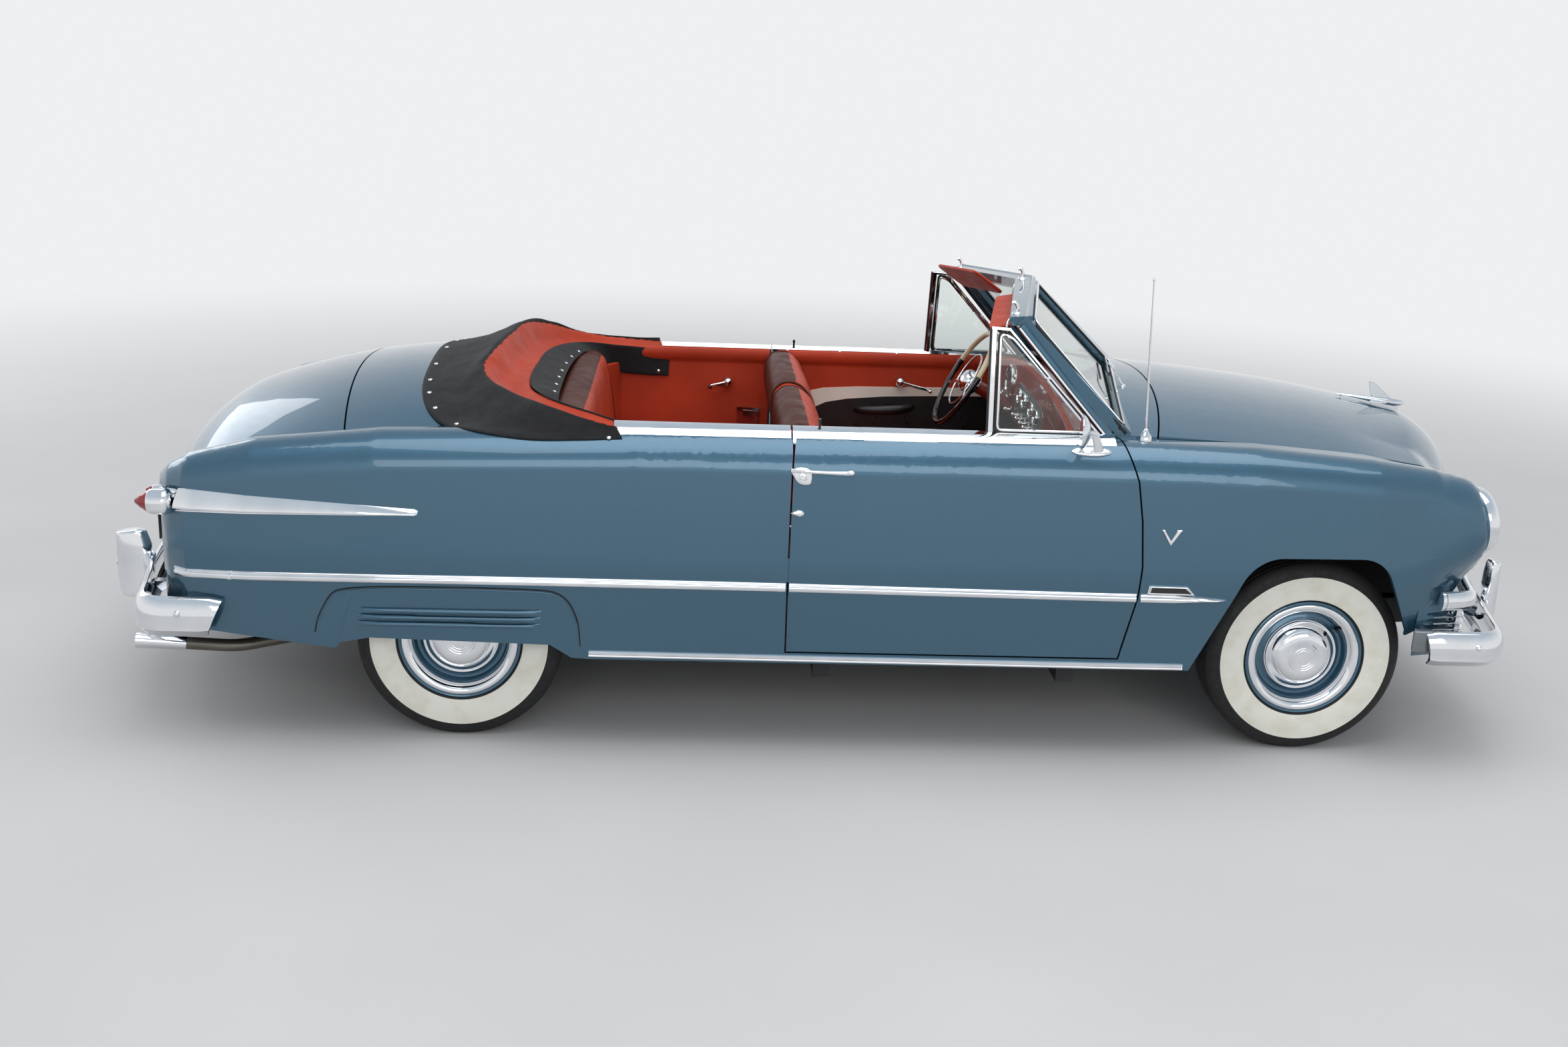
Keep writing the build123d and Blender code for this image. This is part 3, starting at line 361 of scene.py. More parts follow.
def canvas():
    """Black top fabric: a fine crossed weave with dust in soft random patches."""
    n = Nodes("black_canvas")
    thread = {"Vector": n.coords, "Scale": 330.0, "Distortion": 0.6}
    warp, weft = (n.new("TexWave", thread, bands_direction=way).outputs[1] for way in "XY")
    weave = n.new("Math", {0: warp, 1: weft}, operation="MULTIPLY").outputs[0]
    dust = n.spread(n.noise(7), 0, 1)
    tone = n.mix(dust, srgb(18, 18, 20), srgb(28, 28, 30))
    tone = n.mix(weave, tone, srgb(38, 38, 41))
    normal = n.bump(n.noise(22, 5), 0.3, 0.004, n.bump(weave, 0.4, 0.0006))
    return n.set(Base_Color=tone, Roughness=n.spread(n.noise(40), 0.8, 0.95), Normal=normal,
                 Sheen_Weight=0.12, Sheen_Roughness=0.4, Specular_IOR_Level=0.3)


def rubber(name, colour, rough=0.7):
    n = Nodes(name)
    scuff = n.spread(n.noise(24, 6), 0, 1)
    return n.set(Base_Color=n.mix(scuff, shade(colour, 0.85), shade(colour, 1.2)),
                 Roughness=n.spread(n.noise(60), rough - 0.1, rough + 0.1),
                 Normal=n.bump(n.noise(300), 0.15, 0.0004))


def whitewall():
    n = Nodes("white_rubber")
    grime = n.spread(n.noise(14, 6), 0, 1, 0.45, 0.8)
    return n.set(Base_Color=n.mix(grime, srgb(243, 242, 231), srgb(226, 223, 206)),
                 Roughness=n.spread(n.noise(50), 0.42, 0.58), Normal=n.bump(n.noise(140), 0.08, 0.0006))


def clear_glass(name, tint, rough=0.0):
    n = Nodes(name)
    smear = n.noise(5)
    return n.set(Base_Color=n.mix(n.spread(smear, 0, 1), tint, shade(tint, 0.97)), Roughness=rough,
                 Transmission_Weight=1.0, IOR=1.45)


def ribbed_lens():
    n = Nodes("ribbed_lens")
    ribs = n.new("TexWave", {"Vector": n.coords, "Scale": 26.0}, bands_direction="Y").outputs[1]
    return n.set(Base_Color=n.mix(n.spread(n.noise(8), 0, 1), srgb(236, 240, 240), srgb(222, 228, 230)),
                 Roughness=0.06, Transmission_Weight=0.75, IOR=1.5, Normal=n.bump(ribs, 0.5, 0.003))


def red_lens():
    n = Nodes("red_lens")
    facets = n.new("TexVoronoi", {"Vector": n.coords, "Scale": 160.0}).outputs[0]
    return n.set(Base_Color=n.mix(n.spread(n.noise(40), 0, 1), srgb(150, 16, 14), srgb(176, 30, 24)),
                 Roughness=0.1, Transmission_Weight=0.25, IOR=1.5, Coat_Weight=0.6,
                 Normal=n.bump(facets, 0.2, 0.001))


def carpet(name, colour):
    n = Nodes(name)
    pile = n.noise(700, 3)
    # Colour follows the pile's bump height, darker in its hollows and lighter on its tips: painted shade and
    # painted highlight
    tone = n.mix(n.spread(pile, 0, 1), shade(colour, 0.6), shade(colour, 1.5))
    return n.set(Base_Color=tone, Roughness=0.95, Normal=n.bump(pile, 0.8, 0.002), Sheen_Weight=0.2)


PAINT = car_paint()
CHROME = chrome()
RED = leather("red_leather", srgb(180, 60, 34), 0.5, 0.35)
BROWN = leather("dark_brown_leather", srgb(76, 38, 29), 0.42, 0.2)
IVORY = leather("ivory_leather", srgb(230, 224, 212), 0.45)
BLACK_VINYL = leather("black_vinyl", srgb(24, 23, 24), 0.32)
RED_PAINT = plain("oxblood_paint", srgb(134, 38, 26), 0.32, vary=0.06, Coat_Weight=0.8, Coat_Roughness=0.04)
CANVAS = canvas()
TYRE = rubber("tyre_rubber", srgb(26, 26, 27))
SEAL = rubber("seal_rubber", srgb(16, 16, 17), 0.55)
WHITE = whitewall()
GLASS = clear_glass("clear_glass", srgb(240, 247, 244))
LENS = ribbed_lens()
RED_LENS = red_lens()
CARPET = carpet("black_carpet", srgb(30, 27, 27))
UNDER = plain("underbody_black", srgb(30, 30, 31), 0.62, vary=0.2, grain=(90, 0.3, 0.001))
STEEL = plain("exhaust_steel", srgb(124, 118, 110), 0.42, metal=0.8, vary=0.18, grain=(60, 0.2, 0.0006))
ENGINE = plain("engine_casting", srgb(58, 74, 84), 0.5, metal=0.3, vary=0.15, grain=(140, 0.5, 0.001))
PLASTIC_BLACK = plain("black_plastic", srgb(14, 14, 15), 0.16, vary=0.05, Coat_Weight=0.5,
                      Coat_Roughness=0.05)
PLASTIC_IVORY = plain("ivory_plastic", srgb(226, 212, 172), 0.24, vary=0.04, Coat_Weight=0.5,
                      Coat_Roughness=0.06)
CLEAR_PLASTIC = clear_glass("clear_plastic", srgb(232, 240, 244), 0.02)
DIAL = plain("dial_face", srgb(40, 40, 42), 0.4, vary=0.05)
MIRROR_GLASS = plain("mirror_glass", srgb(222, 228, 232), 0.03, metal=1.0, vary=0.02, rough_vary=0.01)
REFLECTOR = plain("lamp_reflector", srgb(206, 210, 214), 0.14, metal=1.0, vary=0.04, rough_vary=0.04)
PAN_GREY = plain("pan_grey", srgb(128, 134, 138), 0.3, metal=0.6, vary=0.06)
DASH_GREY = plain("dash_grey", srgb(96, 100, 102), 0.3, metal=0.5, vary=0.06)

FINISH = {
    "body_paint": PAINT, "chrome": CHROME, "headlight": LENS, "red_lens": RED_LENS, "glass": GLASS,
    "dash_paint": RED_PAINT, "red_leather": RED, "black_fabric": CANVAS, "wheel_black": PLASTIC_BLACK,
    "wheel_paint": PAINT, "tyre": TYRE, "frame_black": UNDER, "floor_black": CARPET, "engine": ENGINE,
    "exhaust_steel": STEEL, "tank_steel": UNDER,
}
CAD_ANGLE = 28

for part in frame["record"]["subparts"]:
    node = NODES[part["node"]]
    node.data.materials.clear()
    node.data.materials.append(FINISH[part["material_slot"]])
    weld = node.modifiers.new("Weld", "WELD")
    weld.merge_threshold = WELD_GAP
    soften(node, CAD_ANGLE)


# Nose set back between the headlights

LAMP_CENTRE = (2.19, 0.718, 0.832)
LAMP_TILT = radians(10)
NOSE_START_X, NOSE_LENGTH = 1.7, 0.62
NOSE_LOW_Z, NOSE_RISE = 0.7, 0.11
# Seam between hood and fender: its y at an x, and how fast it runs in
SEAM_X, SEAM_Y, SEAM_SLOPE = 1.6, 0.709, 0.13
SEAM_MARGIN, SEAM_FADE = 0.012, 0.07
# Distance that the nose moves at the middle, and what is added up to a y beside the lamps
SET_BACK, SIDE_BACK, SIDE_BACK_Y = 0.035, 0.14, 0.5
# Band round the headlight that is drawn out: its inner and outer reach, and how far back it begins
RIM_R, RIM_NEAR, RIM_FADE, RIM_BACK_FROM, RIM_BACK_FADE = 0.119, 0.118, 0.075, 0.25, 0.13
RIM_DRAW, RIM_AHEAD = 0.95, 0.008
LONG_EDGE = 0.04


def lamp_axis(side):
    return on_side(*LAMP_CENTRE, side), Vector((cos(LAMP_TILT), 0, sin(LAMP_TILT)))


def set_back(p):
    """Moves a point of the nose back: more by the headlights and the front, none past the fender's seam."""
    seam = SEAM_Y - SEAM_SLOPE * (p.x - SEAM_X)
    across = 1 - smooth((abs(p.y) - seam - SEAM_MARGIN) / SEAM_FADE)
    most = SET_BACK + SIDE_BACK * min(1.0, abs(p.y) / SIDE_BACK_Y) ** 2
    along = smooth((p.x - NOSE_START_X) / NOSE_LENGTH)
    p.x -= smooth((p.z - NOSE_LOW_Z) / NOSE_RISE) * across * along * most


def fill_round_lamp(p):
    """Draws the fender out round the outer side of the headlight, up to its rim."""
    centre, axis = lamp_axis(1 if p.y > 0 else -1)
    along = (p - centre).dot(axis)
    radial = p - centre - axis * along
    if along > 0.05 or radial.length < 0.01:
        return
    near = 1 - smooth((radial.length - RIM_NEAR) / RIM_FADE)
    near *= smooth((along + RIM_BACK_FROM) / RIM_BACK_FADE) * smooth((abs(p.y) - 0.69) / 0.03)
    p += axis * (RIM_DRAW * near * max(0.0, RIM_AHEAD - along))
    p += radial.normalized() * (near * max(0.0, RIM_R - radial.length))


def reshape_nose(name, body):
    """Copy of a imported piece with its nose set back, cut finer there first."""
    mesh = bmesh.new()
    mesh.from_mesh(NODES[name].data)
    bmesh.ops.remove_doubles(mesh, verts=mesh.verts, dist=WELD_GAP)
    for _ in range(2):
        long = [e for e in mesh.edges
                if e.calc_length() > LONG_EDGE and max(v.co.x for v in e.verts) > NOSE_START_X]
        bmesh.ops.subdivide_edges(mesh, edges=long, cuts=1)
        bmesh.ops.triangulate(mesh, faces=[f for f in mesh.faces if len(f.verts) > 4])
    for v in mesh.verts:
        set_back(v.co)
        if "fender" in name:
            fill_round_lamp(v.co)
    data = bpy.data.meshes.new(f"{name}_look")
    mesh.to_mesh(data)
    mesh.free()
    data.materials.append(PAINT)
    obj = place_object(f"{name}_look", data)
    soften(obj, CAD_ANGLE)
    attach(obj, body)
    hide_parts(name)


for part_name, part_body in (("hood", "hood"), ("nose_panel", "root"), ("front_fender_right", "root"),
                             ("front_fender_left", "root")):
    reshape_nose(part_name, part_body)


# Body skin, to lay trim on

class Skin:
    """Finds points on the painted body by straight lines from outside."""

    def __init__(self, *names):
        verts, polys = [], []
        for name in names:
            node, base = NODES[name], len(verts)
            verts += [node.matrix_world @ v.co for v in node.data.vertices]
            polys += [tuple(base + i for i in p.vertices) for p in node.data.polygons]
        self.tree = BVHTree.FromPolygons(verts, polys)

    def side(self, x, z, side=-1, proud=0.0):
        # A line through a gap is tried again a little ahead and behind
        for shift in (0.0, 0.011, -0.011, 0.03, -0.03, 0.06, -0.06):
            hit = self.tree.ray_cast(Vector((x + shift, side * 2, z)), Vector((0, -side, 0)))[0]
            if hit and hit.y * side > 0.6:
                break
        return Vector((x, hit.y + side * proud, z))

    def top(self, x, y, proud=0.0):
        hit = self.tree.ray_cast(Vector((x, y, 3)), Vector((0, 0, -1)))[0]
        return Vector((x, y, (hit.z if hit else 1.08) + proud))


BODY = Skin("quarter_panel_right", "quarter_panel_left", "tonneau_panel", "deck_lid", "door_right",
            "door_left", "front_fender_right", "front_fender_left", "cowl", "hood", "rear_panel",
            "fender_skirts")


# Wheels and tyres

def tyre_profile():
    """Half section from the bead round the outer wall to the middle of the tread; (radius, out)."""
    wall = [(0.199, 0.064), (0.2045, 0.072), (0.212, 0.0795), (0.226, 0.0845), (0.246, 0.0875),
            (0.268, 0.0888), (0.286, 0.0884), (0.2952, 0.0875), (0.2965, 0.0884), (0.298, 0.0884),
            (0.2995, 0.0868), (0.312, 0.083), (0.324, 0.0765), (0.333, 0.069), (0.3385, 0.0625)]
    tread = []
    for edge, deep in ((0.058, 0), (0.0475, 0), (0.0465, 1), (0.0415, 1), (0.0405, 0), (0.0225, 0),
                       (0.0215, 1), (0.0165, 1), (0.0155, 0)):
        tread.append((TYRE_R - 0.0018 * (edge / 0.06) ** 2 - 0.006 * deep, edge))
    return wall + tread


WHITE_SPANS = range(2, 8)


def tyre(corner, hub, out):
    """Turned tyre, white on its outer wall."""
    half = tyre_profile()
    profile = half + [(r, -a) for r, a in reversed(half)]
    shape = Shape().lathe(profile, hub, out, 96, lambda span: 1 if span in WHITE_SPANS else 0)
    piece(f"tyre_{corner}_look", shape, [TYRE, WHITE], f"wheel_{corner}", [f"tyre_{corner}"],
          angle=40)


RIM_FRONT = [(0.1985, 0.06), (0.2035, 0.066), (0.2055, 0.0715), (0.2045, 0.0765), (0.201, 0.0785),
             (0.197, 0.077), (0.195, 0.0735)]
TRIM_RING = [(0.195, 0.0735), (0.1935, 0.0765), (0.1895, 0.079), (0.1835, 0.0795), (0.1765, 0.077),
             (0.17, 0.0715), (0.1645, 0.0635), (0.16, 0.0535), (0.158, 0.044)]
DISC_FRONT = [(0.158, 0.044), (0.156, 0.031), (0.1515, 0.0235), (0.145, 0.0215), (0.137, 0.024),
              (0.13, 0.0285), (0.127, 0.03)]
CAP = [(0.127, 0.03), (0.1285, 0.0345), (0.127, 0.0385), (0.1245, 0.038), (0.1235, 0.0395),
       (0.122, 0.0425), (0.1195, 0.042), (0.118, 0.0425), (0.113, 0.0475), (0.106, 0.056),
       (0.099, 0.063), (0.0945, 0.0665), (0.0925, 0.0655), (0.0905, 0.0665), (0.086, 0.0705),
       (0.077, 0.0745), (0.066, 0.0768), (0.056, 0.0775), (0.0535, 0.0768), (0.0515, 0.0785),
       (0.047, 0.0785), (0.045, 0.0772), (0.043, 0.0788), (0.0385, 0.0788), (0.0365, 0.0775),
       (0.0345, 0.079), (0.03, 0.079), (0.028, 0.0778), (0.024, 0.0795), (0.0, 0.08)]
RIM_BACK = [(0.024, 0.03), (0.06, 0.0145), (0.1, 0.0105), (0.145, 0.015), (0.17, 0.006), (0.1735, -0.02),
            (0.18, -0.064), (0.195, -0.074), (0.204, -0.075), (0.205, -0.069), (0.1985, -0.062)]
RIM_BED = [(0.1985, -0.062), (0.1985, 0.06)]
VALVE = [(0.0, 0.0), (0.005, 0.0), (0.0045, 0.022), (0.006, 0.024), (0.006, 0.034), (0.0, 0.036)]


def wheel(corner, hub, out):
    """Turned steel wheel with trim ring, bare cap and valve."""
    shape = Shape()
    for mark, profile in ((0, RIM_FRONT), (1, TRIM_RING), (0, DISC_FRONT), (1, CAP), (0, RIM_BACK),
                          (0, RIM_BED)):
        shape.lathe(profile, hub, out, 96, mark)
    shape.lathe(VALVE, hub + Vector((0.118, out.y * 0.022, 0.092)), out, 16, 2)
    name = f"wheel_{corner}"
    piece(f"{name}_look", shape, [PAINT, CHROME, SEAL], name, [name], angle=38)


for side_name, side in SIDES:
    for end, axle_x in AXLES:
        place = f"{end}_{side_name}", Vector((axle_x, side * HALF_TRACK, TYRE_R)), Vector((0, side, 0))
        tyre(*place)
        wheel(*place)


# Fabric boot over the stowed top
# One row a station, from the front end at the right round the back to the left:
# edge on the body, ridge, outer and inner edge of the inner band
BOOT = [
    ((-0.715, -0.842), (-0.735, -0.816, 1.101), (-0.72, -0.762, 1.102), (-0.7, -0.744, 0.985)),
    ((-0.86, -0.846), (-0.842, -0.79, 1.119), (-0.815, -0.708, 1.119), (-0.78, -0.735, 0.99)),
    ((-1.03, -0.842), (-0.978, -0.722, 1.142), (-0.93, -0.642, 1.137), (-0.86, -0.69, 1.01)),
    ((-1.19, -0.806), (-1.088, -0.62, 1.158), (-1.0, -0.547, 1.142), (-0.93, -0.585, 1.07)),
    ((-1.3, -0.73), (-1.18, -0.505, 1.177), (-1.045, -0.43, 1.142), (-0.952, -0.45, 1.102)),
    ((-1.38, -0.6), (-1.224, -0.385, 1.205), (-1.062, -0.3, 1.146), (-0.958, -0.31, 1.108)),
    ((-1.418, -0.4), (-1.212, -0.23, 1.234), (-1.066, -0.15, 1.148), (-0.96, -0.155, 1.11)),
    ((-1.424, 0.0), (-1.184, 0.02, 1.249), (-1.062, 0.0, 1.149), (-0.96, 0.0, 1.11)),
    ((-1.418, 0.4), (-1.158, 0.27, 1.254), (-1.056, 0.19, 1.148), (-0.955, 0.19, 1.11)),
    ((-1.38, 0.6), (-1.112, 0.44, 1.237), (-1.03, 0.35, 1.144), (-0.942, 0.37, 1.106)),
    ((-1.3, 0.73), (-1.05, 0.56, 1.203), (-0.978, 0.49, 1.136), (-0.915, 0.53, 1.098)),
    ((-1.19, 0.806), (-0.975, 0.65, 1.166), (-0.905, 0.6, 1.122), (-0.87, 0.636, 1.055)),
    ((-1.03, 0.842), (-0.87, 0.725, 1.136), (-0.812, 0.685, 1.1), (-0.806, 0.728, 0.985)),
    ((-0.84, 0.846), (-0.75, 0.77, 1.12), (-0.7, 0.735, 1.084), (-0.7, 0.74, 0.97)),
    ((-0.65, 0.842), (-0.635, 0.798, 1.112), (-0.59, 0.748, 1.07), (-0.594, 0.74, 0.968)),
]
BOOT_STEPS = 10
# Shares of the way round
BOOT_SNAPS = (0.02, 0.265, 0.335, 0.385, 0.42, 0.455, 0.5, 0.545, 0.58, 0.615, 0.665, 0.735, 0.98)
BAND_SNAPS = (0.03, 0.12, 0.33, 0.385, 0.44, 0.5, 0.56, 0.615, 0.67, 0.88, 0.97)
CLOTH_THICKNESS = 0.0022


def cloth_grid(name, rows, mat):
    """Sheet through rows of points, given the cloth's thickness."""
    cols = len(rows[0])
    shape = Shape().add([p for row in rows for p in row], grid_faces(len(rows), cols))
    obj = piece(name, shape, [mat], "root", angle=None)
    thick = obj.modifiers.new("Thickness", "SOLIDIFY")
    thick.thickness, thick.offset = CLOTH_THICKNESS, -1
    return obj


def wrinkle(p, size, seed):
    return noise.noise(Vector(p) * size + Vector((seed, 0, 0)))


def boot():
    """Cover from the body up over the ridge, lining down inside it, and inner band, each with its folds."""
    tracks = [[BODY.top(*row[0], proud=0.004) for row in BOOT]]
    tracks += [[row[k] for row in BOOT] for k in (1, 2, 3)]
    lines = [curve_points(track, BOOT_STEPS) for track in tracks]
    cover, lining, band = [], [], []
    count = len(lines[0])
    lift = Vector((0, 0, 1))
    for i in range(count):
        edge, ridge, outer, inner = (line[i] for line in lines)
        share = i / (count - 1)
        rear = sin(pi * share) ** 0.6
        across, down = ridge - edge, outer - ridge
        low = edge + across * 0.34 - lift * (0.01 * rear)
        high = edge + across * 0.74 - lift * (0.006 * rear)
        past = ridge + down * 0.1 - lift * 0.004
        row = curve_points([edge, low, high, ridge, past], 6)
        for k, p in enumerate(row[1:], 1):
            t = k / (len(row) - 1)
            amount = sin(pi * min(1.0, t * 1.02)) * 0.9
            p.z += amount * (0.016 * wrinkle(p, 5.5, 3) + 0.006 * wrinkle(p, 14, 8))
            if abs(p.y) < 0.9:
                p.z = max(p.z, BODY.top(p.x, p.y).z + 0.004)
        cover.append(row)
        dip = ridge + down * 0.52 - lift * (0.03 * rear + 0.004)
        row = curve_points([ridge + down * 0.05 - lift * 0.001, ridge + down * 0.2 - lift * 0.006, dip,
                            outer - lift * 0.004], 7)
        for k, p in enumerate(row):
            t = k / (len(row) - 1)
            pucker = max(0.0, 1 - t / 0.28) * 0.0022 * sin(i * 1.9 + 2 * wrinkle(p, 30, 1))
            p.z += pucker + sin(pi * t) * (0.01 * wrinkle(p, 7, 5) + 0.004 * wrinkle(p, 24, 2))
        lining.append(row)
        mid = (outer + inner) / 2 + lift * (0.006 * rear)
        row = curve_points([outer + lift * 0.002, mid, inner], 6)
        for k, p in enumerate(row):
            p.z += sin(pi * k / (len(row) - 1)) * 0.005 * wrinkle(p, 12, 9)
        band.append(row)
    outside = cloth_grid("boot_cover", cover, CANVAS)
    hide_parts("top_boot")
    cloth_grid("boot_lining", lining, RED)
    cloth_grid("boot_band", band, CANVAS)
    snap_row("boot_snaps", [curve_at(cover, share, 2) for share in BOOT_SNAPS])
    snap_row("band_snaps", [curve_at(band, share, -3) for share in BAND_SNAPS])


def curve_at(rows, share, col):
    """Point and outward direction on a grid of rows."""
    i = min(len(rows) - 2, max(1, round(share * (len(rows) - 1))))
    p = rows[i][col]
    along = rows[i + 1][col] - rows[i - 1][col]
    across = rows[i][col + 1] - rows[i][col - 1]
    normal = along.cross(across).normalized()
    return p, normal if normal.z > 0 else -normal


def snap_row(name, places, radius=0.0075, body="root"):
    """Small domed fasteners at places (point, normal)."""
    shape = Shape()
    for p, normal in places:
        shape.lathe([(radius, 0.0), (radius, 0.0015), (radius * 0.8, 0.0032), (radius * 0.35, 0.0042),
                     (0, 0.0045)], p, normal, 16)
    piece(name, shape, [CHROME], body, angle=60)


boot()


# Seats

def offset_loop(loop, d):
    """Closed loop of (u, v) moved inward by d."""
    n = len(loop)
    out = []
    for i, (u, v) in enumerate(loop):
        (a, b), (c, e) = loop[i - 1], loop[(i + 1) % n]
        du, dv = c - a, e - b
        size = sqrt(du * du + dv * dv) or 1
        out.append((u - dv / size * d, v + du / size * d))
    return out


def rounded_loop(points):
    flat = curve_points([(u, v, 0) for u, v in points], 6, closed=True)
    return [(p.x, p.y) for p in flat]


CROWN = 0.006


def end_inset(near, radius):
    """How far a rounded end draws the profile in at a distance from it."""
    return radius - sqrt(max(0.0, radius ** 2 - max(0.0, radius - near) ** 2))


def cushion(name, points, y0, y1, dark, radius=0.045, seed=1, replaces=()):
    """Stuffed piece: a side profile drawn across the car with rounded ends; dark(x, z) picks brown."""
    loop = rounded_loop(points)
    area = sum(a[0] * b[1] - b[0] * a[1] for a, b in zip(loop, loop[1:] + loop[:1]))
    if area < 0:
        loop.reverse()
    n = len(loop)
    width = y1 - y0
    stations = [radius * (1 - cos(pi / 2 * k / 5)) for k in range(6)]
    inner = [radius + (width - 2 * radius) * k / 26 for k in range(1, 26)]
    places = stations + inner + [width - s for s in reversed(stations)]
    verts = []
    for s in places:
        near = min(s, width - s)
        puff = CROWN * (1 - (2 * s / width - 1) ** 4) if near > radius else 0
        for u, v in offset_loop(loop, end_inset(near, radius) - puff):
            p = Vector((u, y0 + s, v))
            k = 0.0035 * wrinkle(p, 9, seed) + 0.0016 * wrinkle(p, 26, seed + 5)
            verts.append((u + k, p.y, v + k))

    def mark(i):
        row, col = divmod(i, n)
        side_part = row < 4 or row >= len(places) - 5
        return 0 if side_part or not dark(*loop[col]) else 1

    shape = Shape().add(verts, grid_faces(len(places), n, wrap_cols=True), mark)
    for row in (0, len(places) - 1):
        ring = verts[row * n:(row + 1) * n]
        middle = sum((Vector(v) for v in ring), Vector()) / n
        cap = ring + [middle]
        shape.add(cap, [(k, (k + 1) % n, n) for k in range(n)], 0)
    obj = piece(name, shape, [RED, BROWN], "root", replaces, angle=75)
    piping = Shape()
    for s in (radius * 0.75, width - radius * 0.75):
        inset = end_inset(min(s, width - s), radius)
        ring = [Vector((u, y0 + s, v)) for u, v in offset_loop(loop, inset - 0.0015)]
        piping.tube(ring, 0.0045, 8, closed=True, up=(0.02, 1, 0.03))
    piece(name + "_piping", piping, [BROWN], "root", angle=60)


# Side profiles, each point (x, z)
FRONT_BACK = [(0.022, 0.64), (0.012, 0.78), (-0.012, 0.93), (-0.046, 1.03), (-0.082, 1.078),
              (-0.124, 1.094), (-0.164, 1.085), (-0.19, 1.045), (-0.186, 0.95), (-0.15, 0.81),
              (-0.118, 0.68), (-0.1, 0.61), (-0.05, 0.604)]
FRONT_CUSHION = [(-0.062, 0.45), (0.18, 0.444), (0.41, 0.446), (0.44, 0.48), (0.444, 0.56),
                 (0.424, 0.612), (0.36, 0.634), (0.2, 0.624), (0.04, 0.604), (-0.06, 0.592)]
REAR_BACK = [(-0.792, 0.6), (-0.806, 0.8), (-0.826, 0.95), (-0.844, 1.04), (-0.866, 1.08),
             (-0.905, 1.096), (-0.948, 1.092), (-0.968, 1.058), (-0.955, 0.94), (-0.925, 0.78),
             (-0.88, 0.64), (-0.86, 0.575), (-0.81, 0.568)]
REAR_CUSHION = [(-0.775, 0.44), (-0.56, 0.44), (-0.37, 0.446), (-0.342, 0.48), (-0.336, 0.56),
                (-0.352, 0.6), (-0.42, 0.616), (-0.6, 0.606), (-0.775, 0.596)]


def seats():
    def front_dark(x, z):
        return x < -0.1 and z > 0.62

    def rear_dark(x, z):
        return x < -0.862 and z > 0.9

    def never(x, z):
        return False

    cushion("front_seat_back_right", FRONT_BACK, -0.724, -0.008, front_dark, 0.04, 2, ["front_seat"])
    cushion("front_seat_back_left", FRONT_BACK, 0.008, 0.724, front_dark, 0.04, 6)
    cushion("front_seat_cushion", FRONT_CUSHION, -0.724, 0.724, never, seed=11)
    cushion("rear_seat_back", REAR_BACK, -0.6, 0.6, rear_dark, 0.05, 17, ["rear_seat"])
    cushion("rear_seat_cushion", REAR_CUSHION, -0.73, 0.73, never, seed=23)
    wings = Shape()
    for side in (-1, 1):
        wings.slab([(-0.845, side * 0.56, 0.57), (-0.79, side * 0.75, 0.57), (-0.79, side * 0.75, 1.02),
                    (-0.845, side * 0.56, 1.04)], (-0.02, 0, 0))
    piece("rear_seat_wings", wings, [RED], "root", bevel=0.006)


seats()


# Trim laid on the body side

def skin_frame(x, z, side):
    """Point on the body side with the directions ahead, up and out of the skin."""
    p = BODY.side(x, z, side)
    ahead = (BODY.side(x + 0.012, z, side) - BODY.side(x - 0.012, z, side)).normalized()
    rise = BODY.side(x, z + 0.008, side) - BODY.side(x, z - 0.008, side)
    out = ahead.cross(rise).normalized()
    if out.y * side < 0:
        out = -out
    up = out.cross(ahead).normalized()
    return p, ahead, up if up.z > 0 else -up, out


def run(points, step=0.03):
    """Straight runs between (u, v) points, divided into short steps."""
    out = []
    for (a, b), (c, d) in zip(points, points[1:]):
        count = max(1, round(sqrt((c - a) ** 2 + (d - b) ** 2) / step))
        out += [(blend_in(a, c, k / count), blend_in(b, d, k / count)) for k in range(count)]
    return out + [points[-1]]


def strip(shape, path, side, section, size=lambda t: (1, 1)):
    """Trim laid along the body side; size gives the share of its height and depth along the way."""
    rings = []
    for i, (x, z) in enumerate(path):
        p, _, up, out = skin_frame(x, z, side)
        high, deep = size(i / (len(path) - 1))
        rings.append([p + up * t * high + out * v * deep for t, v in section])
    shape.loft(rings)


def mound(shape, place, outline, levels, mark=0):
    """Raised form over an outline; levels are (share of the outline, distance out)."""
    p, ahead, up, out = place
    m = len(outline)
    cu, cw = sum(u for u, _ in outline) / m, sum(w for _, w in outline) / m
    rings = [[p + ahead * (cu + (u - cu) * k) + up * (cw + (w - cw) * k) + out * d for u, w in outline]
             for k, d in levels]
    shape.loft(rings, mark, foot=False)


BELT_SECTION = [(-0.0155, -0.002), (-0.0155, 0.003), (-0.0135, 0.0065), (-0.0085, 0.009), (-0.002, 0.0095),
                (0.003, 0.0075), (0.0055, 0.004), (0.007, 0.0026), (0.0085, 0.0034), (0.0105, 0.0062),
                (0.013, 0.0062), (0.0155, 0.003), (0.0155, -0.002)]
ROCKER_SECTION = [(-0.011, -0.002), (-0.011, 0.004), (-0.008, 0.007), (-0.004, 0.007), (-0.001, 0.0026),
                  (0.001, 0.0026), (0.004, 0.007), (0.008, 0.007), (0.011, 0.004), (0.011, -0.002)]
SPEAR_SECTION = [(-1, -0.15), (-1, 0.25), (-0.94, 0.5), (-0.88, 0.5), (-0.83, 0.36), (-0.79, 0.62),
                 (-0.72, 0.92), (-0.62, 1.0), (-0.4, 0.93), (-0.1, 0.78), (0.25, 0.56), (0.6, 0.3),
                 (0.88, 0.1), (1, -0.02), (1, -0.15)]
RIB_SECTION = [(-0.0085, -0.002), (-0.007, 0.0012), (-0.004, 0.0046), (0.0, 0.006), (0.004, 0.0046),
               (0.007, 0.0012), (0.0085, -0.002)]
